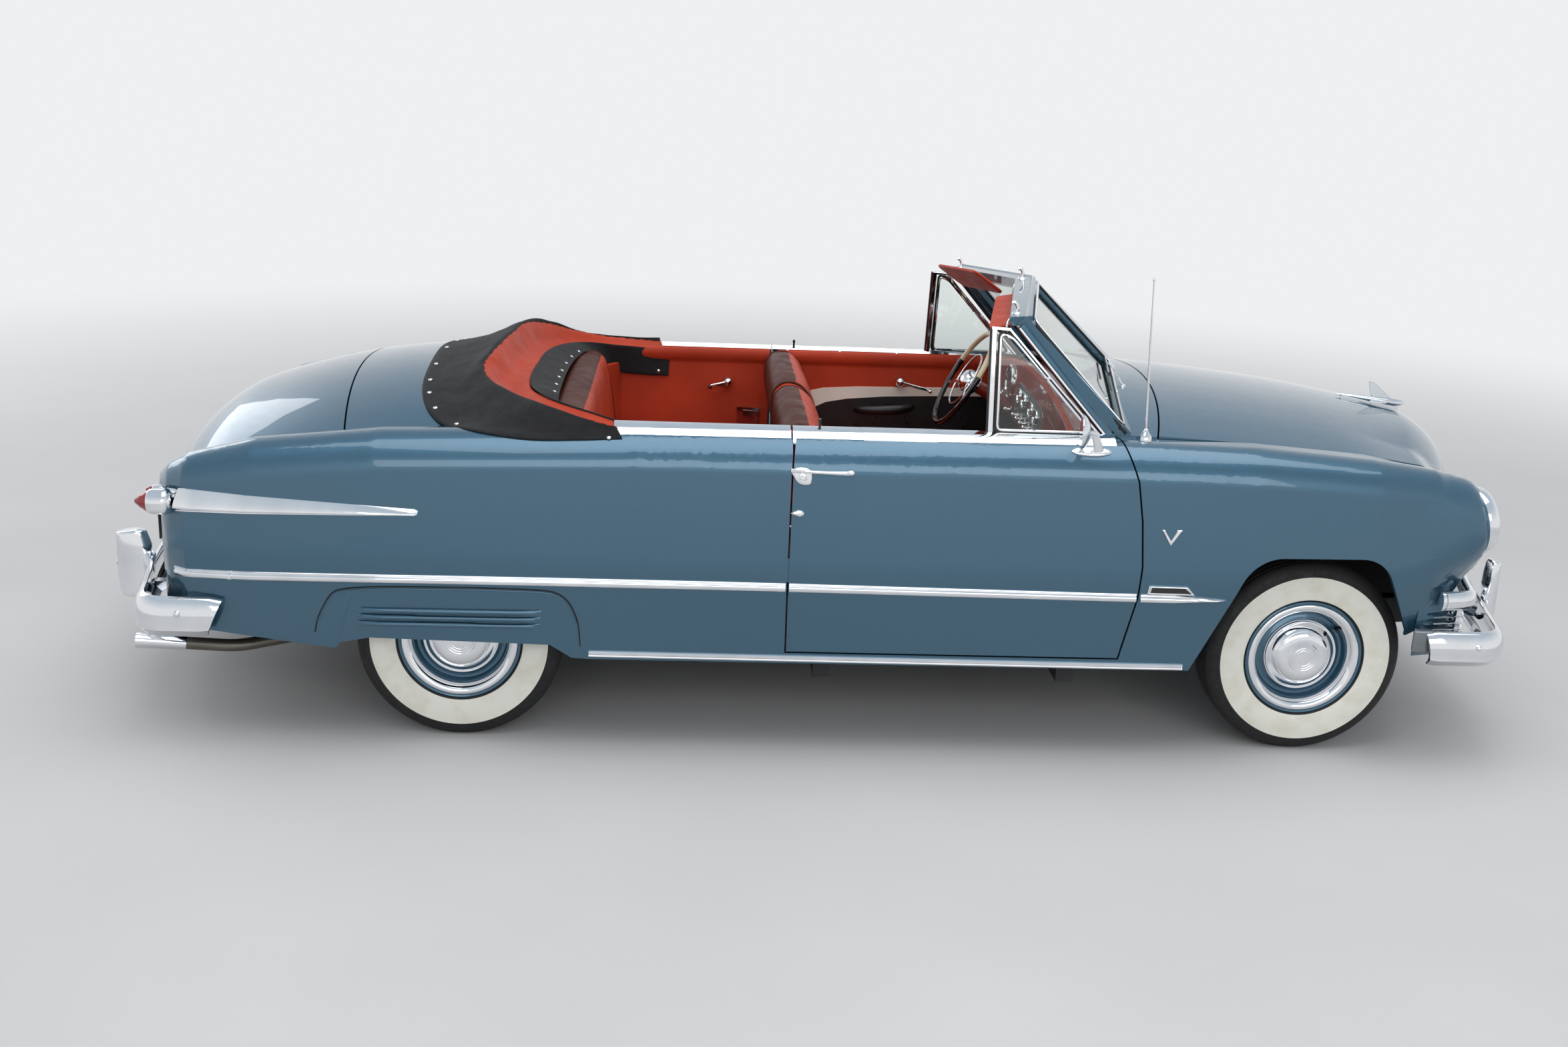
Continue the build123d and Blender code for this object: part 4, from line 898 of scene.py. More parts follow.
SKIRT_SEAM = [(-1.706, 0.4), (-1.694, 0.449), (-1.672, 0.497), (-1.646, 0.538), (-1.612, 0.557),
              (-1.512, 0.569), (-1.35, 0.573), (-1.132, 0.574), (-0.975, 0.571), (-0.915, 0.56),
              (-0.877, 0.525), (-0.851, 0.46), (-0.843, 0.372)]
# Distance from the car's middle, height
SILL_SECTION = [(0.752, 1.088), (0.745, 1.0945), (0.757, 1.1085), (0.775, 1.105), (0.795, 1.0975),
                (0.812, 1.086), (0.825, 1.073), (0.8315, 1.0625), (0.829, 1.0595), (0.8, 1.07),
                (0.77, 1.082)]
DOOR_CUT_REAR, DOOR_CUT_FRONT = -0.166, 0.997


def belt_z(x):
    """Height of the side moulding at x: nearly level, lower toward both ends."""
    return 0.618 - 0.00791 * (x + 2.163) - 0.024 * max(0.0, (-0.17 - x) / 1.98) ** 1.5


def belt(shape, x0, x1, side, size=lambda t: (1, 1)):
    count = max(2, round(abs(x1 - x0) / 0.03))
    path = [(x, belt_z(x)) for x in (blend_in(x0, x1, k / count) for k in range(count + 1))]
    strip(shape, path, side, BELT_SECTION, size)


def sill(shape, x0, x1, side, ribs=None):
    """Chrome sill on top of the body side, with fine ribs between two x values where they are given."""
    stations = [(x0, 0.0), (x1, 0.0)]
    if ribs:
        pitch = 0.0066
        for k in range(int((ribs[1] - ribs[0]) / pitch)):
            x = ribs[0] + k * pitch
            stations += [(x, 0.0), (x + 0.0004, 0.0013), (x + 0.0036, 0.0013), (x + 0.004, 0.0)]
    stations.sort()
    shape.loft([[(x, side * (y + 0.6 * lift), z + lift) for y, z in SILL_SECTION] for x, lift in stations])


# Front arm and rear arm of the bare V, and the badge plate under it: (ahead, up) from their middle
V_ARMS = ([(-0.035, 0.026), (-0.027, 0.026), (-0.002, -0.012), (-0.004, -0.027)],
          [(0.033, 0.026), (0.017, 0.026), (-0.006, -0.016), (-0.003, -0.027)])
BADGE = [(-0.068, -0.013), (-0.064, 0.016), (0.068, 0.014), (0.094, -0.015)]
V_PLACE, BADGE_PLACE = (1.094, 0.801), (1.095, 0.622)


def fender_emblem(shape, side):
    place = skin_frame(*V_PLACE, side)
    for arm in V_ARMS:
        mound(shape, place, arm, [(1.0, -0.001), (1.0, 0.0036), (0.8, 0.0058)])
    place = skin_frame(*BADGE_PLACE, side)
    mound(shape, place, BADGE, [(1.0, -0.002), (1.0, 0.006), (0.97, 0.0085)])
    inset = [(u * 0.86, w * 0.66 + 0.0005) for u, w in BADGE]
    mound(shape, place, inset, [(1.0, 0.0084), (1.0, 0.0091), (0.97, 0.0093)], 1)
    p, ahead, up, out = place
    rim = [p + ahead * (u * 1.06) + up * (w * 1.14) + out * 0.0088 for u, w in inset]
    path = [a.lerp(b, k / 6) for a, b in zip(rim, rim[1:] + rim[:1]) for k in range(6)]
    shape.tube(path, 0.0014, 6, closed=True, up=(0.05, 1, 0.08))


SKIRT_RIB_Z = (0.487, 0.4625, 0.438)


def skirt_edges(shape, side):
    """Three ribs on the fender skirt, the seam round it as a dark tube that paints the shadow in its gap,
    and its raised edge.
    """
    for k, row in enumerate(SKIRT_RIB_Z):
        rib = [(-1.56 - 0.004 * k + 0.0197 * j, row + 0.0001 * j) for j in range(31)]
        strip(shape, rib, side, RIB_SECTION, lambda t: (1, min(1.0, 9 * t, 9 * (1 - t)) + 0.02))
    line = [BODY.side(x, z, side, 0.0012) for x, z in SKIRT_SEAM]
    # Dark tube along the seam: painted shadow of the gap round the skirt
    shape.tube(curve_points(line, 4), 0.0021, 6, 1)
    edge = [BODY.side(x * 0.996 - 0.006, z - 0.008, side, 0.0002) for x, z in SKIRT_SEAM[1:-1]]
    shape.tube(curve_points(edge, 4), 0.0032, 8)


def belt_taper(t):
    return 1.0 if t < 0.4 else blend_in(1.0, 0.12, (t - 0.4) / 0.6), 1.25 if t < 0.97 else 0.5


def spear_taper(t):
    high, deep = blend_in(0.0405, 0.0095, t), blend_in(0.02, 0.01, t)
    return (high, deep) if t < 0.97 else (high * 0.6, deep * 0.55)


# Lines of the side trim in (x, z)
SPEAR = ((-2.1725, 0.8335), (-1.372, 0.8205), (-1.362, 0.8203))
ROCKER = ((-0.815, 0.345), (1.185, 0.338))
BELT_REAR, BELT_FRONT = -2.148, 1.295


def fixed_trim():
    shape, emblem, skirt = Shape(), Shape(), Shape()
    for side in (-1, 1):
        belt(shape, BELT_REAR, DOOR_CUT_REAR - 0.008, side)
        belt(shape, DOOR_CUT_FRONT + 0.009, BELT_FRONT, side, belt_taper)
        strip(shape, run([(-1.971, belt_z(-1.964)), (-1.957, belt_z(-1.964))], 0.01), side, BELT_SECTION,
              lambda t: (1.12, 1.3))
        strip(shape, run(SPEAR, 0.025), side, SPEAR_SECTION, spear_taper)
        strip(shape, run(ROCKER, 0.05), side, ROCKER_SECTION)
        sill(shape, -0.745 if side < 0 else -0.622, DOOR_CUT_REAR - 0.004, side)
        fender_emblem(emblem, side)
        skirt_edges(skirt, side)
    piece("skirt_edges", skirt, [PAINT, SEAL], "root", angle=60)
    piece("body_mouldings_look", shape, [CHROME], "root", ["body_mouldings"], angle=40)
    piece("fender_emblems", emblem, [CHROME, PLASTIC_BLACK], "root", angle=30)


# Door trim: vent window, sill, handle, key cover and mirror

VENT_LEAN = 0.1817
VENT_PANE = ((0.513, 1.112), (0.832, 1.112), (0.548, 1.418), (0.513, 1.424))
# Post and its rubber, top, front and foot, each (points (x, z), width, depth, material)
VENT_BARS = (
    (((0.492, 1.08), (0.492, 1.26), (0.492, 1.443)), 0.017, 0.016, 0),
    (((0.4805, 1.08), (0.4805, 1.26), (0.4805, 1.443)), 0.006, 0.012, 1),
    (((0.483, 1.441), (0.546, 1.437)), 0.01, 0.014, 0),
    (((0.541, 1.44), (0.7, 1.27), (0.872, 1.09)), 0.008, 0.014, 0),
    (((0.49, 1.093), (0.866, 1.093)), 0.012, 0.014, 1),
)
# Grip of the door handle: ahead, up and out from the middle of its shield
HANDLE_GRIP = ((-0.036, 0.021, 0.006), (-0.018, 0.0225, 0.015), (0.012, 0.022, 0.026), (0.06, 0.021, 0.03),
               (0.105, 0.02, 0.029), (0.14, 0.019, 0.023), (0.158, 0.018, 0.012))


HANDLE_SHIELD = [(-0.041, 0.019), (-0.034, 0.027), (-0.022, 0.0325), (-0.006, 0.035), (0.012, 0.033),
                 (0.024, 0.026), (0.03, 0.014), (0.031, -0.004), (0.029, -0.02), (0.02, -0.025),
                 (0.004, -0.0255), (-0.01, -0.022), (-0.022, -0.011), (-0.034, 0.008)]
HANDLE_HUB = [(0.0165, 0.0), (0.0165, 0.007), (0.015, 0.0095), (0.0125, 0.0095), (0.0115, 0.007),
              (0.0105, 0.007), (0.01, 0.0115), (0.008, 0.0135), (0.0, 0.014)]
# Where they sit on the door, (x, z)
HANDLE_PLACE, MOUNT_PLACE, KEY_PLACE = (-0.132, 0.969), (0.022, 0.987), (-0.144, 0.851)


def vent_point(x, z, side, out=0.0):
    """Point in the plane of the vent window, which leans inward above its foot."""
    return Vector((x, side * (0.76 - (z - 1.098) * VENT_LEAN + out), z))


def vent_window(shape, side):
    """Bars round the vent window, the frame and rubber of its pane, and its catch."""
    up = (0.0, side, 0.18)
    for points, width, depth, mark in VENT_BARS:
        shape.sweep([vent_point(x, z, side) for x, z in points], flat_bar(width, depth), up, mark)
    path = corner_round([vent_point(x, z, side, 0.003) for x, z in VENT_PANE], [0.02, 0.03, 0.026, 0.018], 6)
    shape.sweep(path, flat_bar(0.01, 0.012, 0.6), up, closed=True)
    shape.sweep([p + (p - vent_point(0.6, 1.21, side)).normalized() * 0.0085 for p in path],
                flat_bar(0.008, 0.01), up, mark=1, closed=True)
    shape.lathe([(0, 0.016), (0.005, 0.015), (0.007, 0.01), (0.006, 0.0), (0.01, -0.004)],
                vent_point(0.674, 1.286, side, 0.004), (0, side, 0), 14)


def handle(shape, side):
    """Grip on a shield, with its far mount and the key cover below."""
    place = skin_frame(*HANDLE_PLACE, side)
    p, ahead, up, out = place
    mound(shape, place, HANDLE_SHIELD,
          [(1.0, -0.004), (1.0, 0.004), (0.94, 0.0075), (0.82, 0.009), (0.7, 0.0085)])
    shape.lathe(HANDLE_HUB, p + out * 0.004, out, 28)
    path = curve_points([p + ahead * u + up * w + out * v for u, w, v in HANDLE_GRIP], 6)
    shape.sweep(path, oval(0.0045, 0.0065, 14), scale=lambda t: 1.25 - 0.45 * sin(pi * min(1, t * 1.1)))
    mound(shape, skin_frame(*MOUNT_PLACE, side), oval(0.017, 0.0115),
          [(1.0, -0.003), (1.0, 0.006), (0.92, 0.014), (0.7, 0.021), (0.3, 0.0245)])
    # Key cover: an oval drawn narrower to the rear
    sides = 28
    drop = []
    for k, (u, v) in enumerate(oval(0.023, 0.0125, sides)):
        taper = 0.55 + 0.45 * cos(pi * k / sides) ** 2 if u < 0 else 1.0
        drop.append((u, v * taper))
    mound(shape, skin_frame(*KEY_PLACE, side), drop,
          [(1.0, -0.003), (1.0, 0.003), (0.93, 0.007), (0.75, 0.0105), (0.45, 0.0125), (0.15, 0.013)])


LOCK_KNOB = [(0.0085, 0.0), (0.0085, 0.004), (0.0045, 0.007), (0.004, 0.02), (0.0058, 0.024),
             (0.0056, 0.031), (0.003, 0.034), (0, 0.0345)]
LOCK_PLACE = (-0.073, 0.757, 1.1)


MIRROR_HEAD = [(0.0, 0.025), (0.012, 0.0245), (0.03, 0.0205), (0.046, 0.012), (0.056, 0.003),
               (0.059, -0.003), (0.058, -0.0065), (0.055, -0.006)]
MIRROR_FACE = [(0.055, -0.006), (0.025, -0.0055), (0.0, -0.0055)]
MIRROR_FOOT, MIRROR_CENTRE = (0.816, 1.067), (0.776, 0.868, 1.138)


def mirror_on(shape, side):
    """Outside mirror: foot on the door, stem, neck and round head."""
    place = skin_frame(*MIRROR_FOOT, side)
    p, ahead, _, out = place
    mound(shape, place, oval(0.067, 0.02),
          [(1.0, -0.004), (1.0, 0.002), (0.95, 0.005), (0.8, 0.0075), (0.5, 0.009)])
    top = on_side(0.815, 0.864, 1.13, side)
    foot = p + out * 0.006 + ahead * 0.022
    stem = curve_points([foot, foot.lerp(top, 0.5) + Vector((0.002, 0, 0)), top], 5)
    shape.sweep(stem, oval(0.01, 0.017, 16), up=(1, 0, 0), scale=lambda t: 1 - 0.32 * t)
    axis = Vector((1, side * 0.16, 0)).normalized()
    centre = on_side(*MIRROR_CENTRE, side)
    neck = [centre + axis * 0.018, on_side(0.806, 0.866, 1.136, side), top + Vector((0.006, 0, 0.002))]
    shape.tube(neck, 0.0085, 12)
    shape.lathe(MIRROR_HEAD, centre, axis, 48)
    shape.lathe(MIRROR_FACE, centre, axis, 48, 2)


def door_trims():
    for name, side in SIDES:
        shape = Shape()
        belt(shape, DOOR_CUT_REAR + 0.004, DOOR_CUT_FRONT - 0.005, side)
        sill(shape, DOOR_CUT_REAR + 0.003, 0.905, side, (0.07, 0.315))
        vent_window(shape, side)
        handle(shape, side)
        if side < 0:
            mirror_on(shape, side)
        piece(f"door_trim_{name}_look", shape, [CHROME, SEAL, MIRROR_GLASS], f"door_{name}",
              [f"door_trim_{name}"], angle=38)
        lock = Shape().lathe(LOCK_KNOB, on_side(*LOCK_PLACE, side), (0, 0, 1), 16)
        piece(f"lock_knob_{name}", lock, [PLASTIC_BLACK], f"door_{name}")


# Inside panels of the doors and the rear quarters

WALL_Y = 0.752
IVORY_OUTER = [(0.9, 0.953), (0.7, 0.953), (0.5, 0.951), (0.2, 0.945), (0.06, 0.936),
               (-0.03, 0.915), (-0.085, 0.87), (-0.11, 0.79), (-0.118, 0.65), (-0.118, 0.45)]
IVORY_INNER = [(-0.045, 0.45), (-0.045, 0.7), (-0.032, 0.79), (0.005, 0.845), (0.07, 0.876),
               (0.16, 0.893), (0.32, 0.907), (0.52, 0.915), (0.7, 0.919), (0.9, 0.922)]
ROLL = [(0.0, 1.088), (0.004, 1.093), (0.012, 1.091), (0.018, 1.083), (0.02, 1.068), (0.018, 1.052),
        (0.012, 1.04), (0.007, 1.034), (0.006, 1.024), (0.006, 0.46), (0.0, 0.45)]


def plate_on_wall(shape, outline, side, wall, depth, mark=0):
    """Flat plate on the inner wall: outline of (x, z), standing into the cabin by depth."""
    place = (Vector((0, side * wall, 0)), Vector((1, 0, 0)), Vector((0, 0, 1)), Vector((0, -side, 0)))
    mound(shape, place, outline, [(1.0, -0.001), (1.0, depth * 0.6), (0.994, depth)], mark)


WINDER_HUB = [(0.023, 0.0), (0.0228, 0.008), (0.0205, 0.018), (0.0165, 0.026), (0.012, 0.032), (0, 0.035)]
WINDER_KNOB = [(0.004, -0.002), (0.006, 0.006), (0.0085, 0.014), (0.0085, 0.022), (0.005, 0.026), (0, 0.027)]
# Places on the panels, (x, z), of hub and knob
DOOR_LEVER = (0.38, 0.975), (0.505, 0.944)
QUARTER_WINDER = (-0.345, 0.953), (-0.419, 0.936)
ARMREST = ((0.195, 0.742, 0.848), (0.225, 0.715, 0.852), (0.3, 0.7, 0.856), (0.38, 0.702, 0.862),
           (0.425, 0.722, 0.866), (0.445, 0.744, 0.868))
# Ashtray: box, lid and grip, each (outline in x and z, distance of its wall, depth, material)
ASHTRAY = (
    ([(-0.302, 0.77), (-0.21, 0.765), (-0.21, 0.838), (-0.302, 0.843)], 0.746, 0.01, 2),
    ([(-0.304, 0.832), (-0.208, 0.828), (-0.208, 0.842), (-0.304, 0.846)], 0.74, 0.01, 0),
    ([(-0.278, 0.812), (-0.234, 0.81), (-0.234, 0.832), (-0.278, 0.834)], 0.737, 0.008, 0),
)


def winder(shape, hub, tip, side, wall):
    """Crank: domed hub on the panel, arm and knob."""
    base = Vector((hub[0], side * wall, hub[1]))
    inward = Vector((0, -side, 0))
    end = Vector((tip[0], side * (wall - 0.028), tip[1]))
    shape.lathe(WINDER_HUB, base, inward, 24)
    root = base + inward * 0.026
    shape.sweep([root, root.lerp(end, 0.5) + inward * 0.004, end], flat_bar(0.015, 0.008, 0.6), up=(0, 1, 0),
                scale=lambda t: 1 - 0.25 * t)
    shape.lathe(WINDER_KNOB, end, inward, 16, 1)


def wall_roll(shape, stations, side):
    """Trim wall through stations along the cabin, with its rolled top."""
    section = [(side * (WALL_Y - d), z) for d, z in ROLL]
    verts = [(x, y, z) for x in stations for y, z in section]
    shape.add(verts, grid_faces(len(stations), len(section), wrap_cols=True))


def inner_panels():
    for name, side in SIDES:
        shape = Shape()
        wall_roll(shape, (-0.138, 0.0, 0.25, 0.5, 0.75, 0.9), side)
        panel = piece(f"door_panel_{name}", shape, [RED], f"door_{name}", angle=60)
        plates = Shape()
        plate_on_wall(plates, IVORY_OUTER + IVORY_INNER, side, WALL_Y - 0.006, 0.004)
        black = IVORY_INNER[::-1] + [(0.0, 0.45), (0.9, 0.45)]
        plate_on_wall(plates, black, side, WALL_Y - 0.006, 0.003, 1)
        piece(f"door_bands_{name}", plates, [IVORY, BLACK_VINYL], f"door_{name}", angle=40)
        rest = Shape()
        path = curve_points([on_side(*p, side) for p in ARMREST], 6)
        rest.sweep(path, oval(0.018, 0.02, 16), scale=lambda t: 0.45 + 0.55 * sin(pi * t))
        armrest = piece(f"armrest_{name}", rest, [BLACK_VINYL], f"door_{name}", angle=80)
        lever = Shape()
        winder(lever, *DOOR_LEVER, side, WALL_Y - 0.012)
        piece(f"door_lever_{name}", lever, [CHROME, CHROME], f"door_{name}", angle=50)
        inward = Vector((0, -side * 0.5, 1)).normalized()
        snaps = [(Vector((x, side * 0.741, 1.091)), inward) for x in (-0.1, 0.12, 0.36)]
        snap_row(f"door_snaps_{name}", snaps, 0.005, f"door_{name}")
    shape, fittings = Shape(), Shape()
    for side in (-1, 1):
        wall_roll(shape, (-0.86, -0.7, -0.5, -0.3, -0.173), side)
        winder(fittings, *QUARTER_WINDER, side, 0.738)
        for outline, wall, depth, mark in ASHTRAY:
            plate_on_wall(fittings, outline, side, wall, depth, mark)
    quarter = piece("quarter_trim", shape, [RED], "root", angle=60)
    piece("quarter_fittings", fittings, [CHROME, PLASTIC_BLACK, RED_PAINT], "root", angle=45)


# Steering wheel and dash

HORN_HUB = [(0.038, -0.02), (0.038, 0.004), (0.033, 0.006), (0.045, 0.01), (0.0465, 0.02),
            (0.043, 0.034), (0.034, 0.045), (0.019, 0.0515), (0.0, 0.0535)]
HORN_RING_R = 0.112


def steering_wheel():
    across, up = Vector((0, 1, 0)), Vector((sin(STEER_TILT), 0, cos(STEER_TILT)))
    back = Vector((-cos(STEER_TILT), 0, sin(STEER_TILT)))

    def place(radius, degrees, out):
        a = radians(degrees)
        return STEER_HUB + across * (radius * cos(a)) + up * (radius * sin(a)) + back * out

    shape = Shape()
    lift, rim_sides = 0.04, 18
    ivory = [place(STEER_R, a, lift) for a in range(10, 171, 5)]
    shape.tube(ivory, 0.0108, rim_sides, 1, up=tuple(back))
    lower = range(170, 371, 2)
    verts = []
    for a in lower:
        # Finger ridges at both sides of the black half
        ridge = 0.0011 * abs(sin(radians(a * 12))) if 176 < a < 232 or 308 < a < 364 else 0.0
        centre, out = place(STEER_R, a, lift), (place(1, a, 0) - STEER_HUB).normalized()
        verts += [centre + (out * u + back * v) * (0.0112 - ridge) for u, v in oval(1, 1, rim_sides)]
    shape.add(verts, grid_faces(len(lower), rim_sides, wrap_cols=True), 2)
    for a in (10, 170):
        along = (place(1, a + 90, 0) - STEER_HUB).normalized()
        shape.lathe([(0.01, -0.012), (0.0128, -0.01), (0.0132, 0.0), (0.0128, 0.01), (0.01, 0.012)],
                    place(STEER_R, a, lift), along, 20, 2)
    ring = [place(HORN_RING_R, a, lift - 0.008) for a in range(0, 360, 6)]
    shape.tube(ring, 0.0038, 10, 0, closed=True, up=tuple(back))
    for a in (-18, 198):
        path = curve_points([place(0.022, a, 0.022), place(0.07, a, 0.03), place(0.13, a, 0.036),
                             place(STEER_R - 0.008, a, lift)], 6)
        shape.sweep(path, flat_bar(0.02, 0.009, 0.7), up=tuple(back), scale=lambda t: 1 - 0.3 * t)
        stay = a + (14 if a < 0 else -14)
        shape.tube([place(0.05, stay, 0.028), place(HORN_RING_R, stay, 0.032)], 0.003, 8)
    shape.lathe(HORN_HUB, STEER_HUB, back, 40)
    piece("steering_wheel_look", shape, [CHROME, PLASTIC_IVORY, PLASTIC_BLACK], "steering",
          ["steering_wheel"], angle=50)


def dial(shape, y, z, radius, x=0.7735, needle=0.6):
    """Round gauge on the dash: chrome bezel, dark face, marks and a needle."""
    centre, back = Vector((x, y, z)), Vector((-1, 0, 0.06)).normalized()
    shape.lathe([(radius * 1.16, -0.004), (radius * 1.15, 0.006), (radius * 1.08, 0.01), (radius, 0.008),
                 (radius * 0.96, 0.003)], centre, back, 40)
    shape.lathe([(radius * 0.96, 0.003), (0.0, 0.003)], centre, back, 40, 1)
    across, up = Vector((0, -1, 0)), Vector((0.06, 0, 1)).normalized()
    for k in range(11):
        a = radians(220 - 26 * k)
        mid = centre + (across * cos(a) + up * sin(a)) * radius * 0.8 + back * 0.0036
        shape.box(mid - Vector((0.0004, 0.001, 0.003)), mid + Vector((0.0004, 0.001, 0.003)), 2)
    a = radians(220 - 260 * needle)
    tip = centre + (across * cos(a) + up * sin(a)) * radius * 0.72 + back * 0.005
    shape.tube([centre + back * 0.005, tip], 0.0009, 6, 3)
    shape.lathe([(0.0, 0.008), (radius * 0.1, 0.006), (radius * 0.1, 0.003)], centre, back, 16)


def knob(shape, y, z, radius, x):
    shape.lathe([(radius * 1.5, -0.002), (radius * 1.45, 0.003), (radius * 0.7, 0.005),
                 (radius * 0.55, 0.012), (radius, 0.018), (radius * 0.96, 0.025), (radius * 0.6, 0.028),
                 (0, 0.0285)], (x, y, z), (-1, 0, 0.06), 24)


# On the dash, in (y, z)
DASH_X = 0.781
SPEEDOMETER = (0.36, 1.06)
SMALL_DIALS = ((-0.19, 1.035), (-0.1, 1.045), (0.03, 1.052), (0.12, 1.052))
DASH_KNOBS = ((-0.21, 0.965), (-0.14, 0.968), (-0.07, 0.968), (0.0, 0.97), (0.07, 0.972), (0.14, 0.972),
              (0.3, 0.96), (0.5, 0.985))
DASH_PANEL = [(-0.262, 0.945), (-0.255, 1.05), (-0.225, 1.082), (0.165, 1.096), (0.205, 1.07),
              (0.222, 0.955), (0.19, 0.935), (-0.235, 0.93)]
GLOVE_LID = [(-0.64, 0.955), (-0.635, 1.04), (-0.35, 1.075), (-0.345, 0.955)]


def dash_fittings():
    shape = Shape()
    dial(shape, *SPEEDOMETER, 0.06)
    place = (Vector((DASH_X, 0, 0)), Vector((0, 1, 0)), Vector((0, 0, 1)), Vector((-1, 0, 0)))
    mound(shape, place, DASH_PANEL, [(1.0, -0.012), (1.0, 0.01), (0.985, 0.013)], 4)
    for y, z in SMALL_DIALS:
        dial(shape, y, z, 0.026, 0.768, 0.3 + y)
    for y, z in DASH_KNOBS:
        knob(shape, y, z, 0.011, 0.77)
    mound(shape, place, GLOVE_LID, [(1.0, -0.012), (1.0, 0.0075), (0.985, 0.0095)], 5)
    knob(shape, -0.42, 1.02, 0.009, 0.772)
    piece("dash_fittings", shape, [CHROME, DIAL, WHITE, RED_LENS, DASH_GREY, RED_PAINT], "root",
          angle=40)
    pad = Shape()
    rim = [(0.79, y, 1.166 - 0.098 * (abs(y) / 0.715) ** 2)
           for y in (-0.715 + 0.055 * k for k in range(27))]
    pad.tube(rim, 0.011, 12)
    roll = piece("dash_pad", pad, [RED], "root", angle=80)


# Windshield trim, latches, visors and wipers

HEADER_MID, HEADER_HALF, HEADER_BACK, HEADER_DROP = (0.726, 1.506), 0.638, 0.14, 0.044


def header_point(y, dx=0.0, dz=0.0):
    """Point on the windshield's header, which runs back and down from the middle."""
    t = abs(y) / HEADER_HALF
    x, z = HEADER_MID
    return Vector((x - HEADER_BACK * t + dx, y, z - HEADER_DROP * t + dz))


VISOR_THICKNESS = 0.011


def visor(name, y0, y1, front, rear):
    """Padded flap between its front and rear edges, each (dx, dz) off the header line."""
    corners = [header_point(y0, *front), header_point(y1, *front), header_point(y1, *rear),
               header_point(y0, *rear)]
    path = corner_round(corners, [0.032] * 4, 6)
    middle = sum(corners, Vector()) / 4
    normal = (corners[1] - corners[0]).cross(corners[2] - corners[1]).normalized()
    levels = ((0.93, -0.5), (0.985, -0.42), (1.0, -0.15), (1.0, 0.15), (0.985, 0.42), (0.93, 0.5))
    rings = [[middle + (p - middle) * k + normal * d * VISOR_THICKNESS for p in path] for k, d in levels]
    flap = piece(name, Shape().loft(rings), [RED], "root", angle=50)


LATCH_HOOK = ((0, 0, 0.004), (0.001, 0, 0.02), (-0.004, 0, 0.033), (-0.012, 0, 0.039), (-0.019, 0, 0.036))
LATCH_GRIP = ((-0.012, 0, -0.006), (-0.026, 0, -0.02), (-0.032, 0, -0.042), (-0.03, 0, -0.06))


def latch(shape, base):
    """Header latch: round foot, hook over the header and grip below it."""
    shape.lathe([(0.019, -0.006), (0.019, 0.001), (0.015, 0.006), (0.009, 0.009), (0, 0.01)], base,
                (0.15, 0, 1), 24)
    hook = curve_points([base + Vector(v) for v in LATCH_HOOK], 5)
    shape.tube(hook, 0.0062, 12, up=(0, 1, 0))
    grip = curve_points([base + Vector(v) for v in LATCH_GRIP], 5)
    shape.sweep(grip, flat_bar(0.012, 0.006, 0.7), up=(1, 0, 0.2))


# Corners of a pane from the low one at the middle round its outer end, and lines down the pillar
PANE = ((1.0502, 0.0113, 1.2106), (0.934, 0.731, 1.1185), (0.62, 0.65, 1.45), (0.7576, 0.0113, 1.4913))
PILLAR_SEAL = ((0.897, 0.741, 1.09), (0.737, 0.712, 1.268), (0.578, 0.683, 1.446))
PILLAR_EDGE = ((0.952, 0.7335, 1.105), (0.79, 0.712, 1.278), (0.628, 0.688, 1.452))
PILLAR_OUT = Vector((0.74, 0, 0.67))


def pane_trim(chrome_shape, rubber_shape, corners, normal):
    """Chrome lip on both faces of a pane with the rubber inside it."""
    up = tuple(normal)
    loop = corner_round(corners, [0.02, 0.035, 0.03, 0.02], 6)
    middle = sum(corners[1:], corners[0]) / 4
    inner = [p + (middle - p).normalized() * 0.007 for p in loop]
    chrome_shape.sweep([p + normal * 0.0205 for p in loop], flat_bar(0.009, 0.005, 0.6), up, closed=True)
    for lift in (0.017, -0.019):
        rubber_shape.sweep([p + normal * lift for p in inner], flat_bar(0.009, 0.006, 0.6), up, closed=True)
    chrome_shape.sweep([p - normal * 0.0205 for p in loop], flat_bar(0.008, 0.004, 0.6), up, closed=True)


def wiper(chrome_shape, rubber_shape, low_mid, low_end, normal, side):
    """Pivot on the cowl, arm, and blade along the foot of the pane."""
    up = tuple(normal)
    pivot = on_side(1.046, 0.3, 1.172, side)
    chrome_shape.lathe([(0.013, -0.002), (0.012, 0.008), (0.008, 0.014), (0.006, 0.02), (0, 0.022)],
                       pivot, (0.2, 0, 1), 20)
    off_glass = Vector((-0.022, 0, 0.022))
    end = low_mid.lerp(low_end, 0.16) + normal * 0.026 + off_glass
    head = pivot + Vector((0, 0, 0.016))
    chrome_shape.tube(curve_points([head, head.lerp(end, 0.5) + Vector((0, 0, 0.012)), end], 5), 0.0032, 8)
    blade = [low_mid.lerp(low_end, t) + normal * 0.023 + off_glass for t in (0.04, 0.17, 0.3)]
    chrome_shape.sweep(blade, flat_bar(0.006, 0.005, 0.5), up)
    rubber_shape.sweep([p - normal * 0.004 for p in blade], flat_bar(0.004, 0.005, 0.3), up)


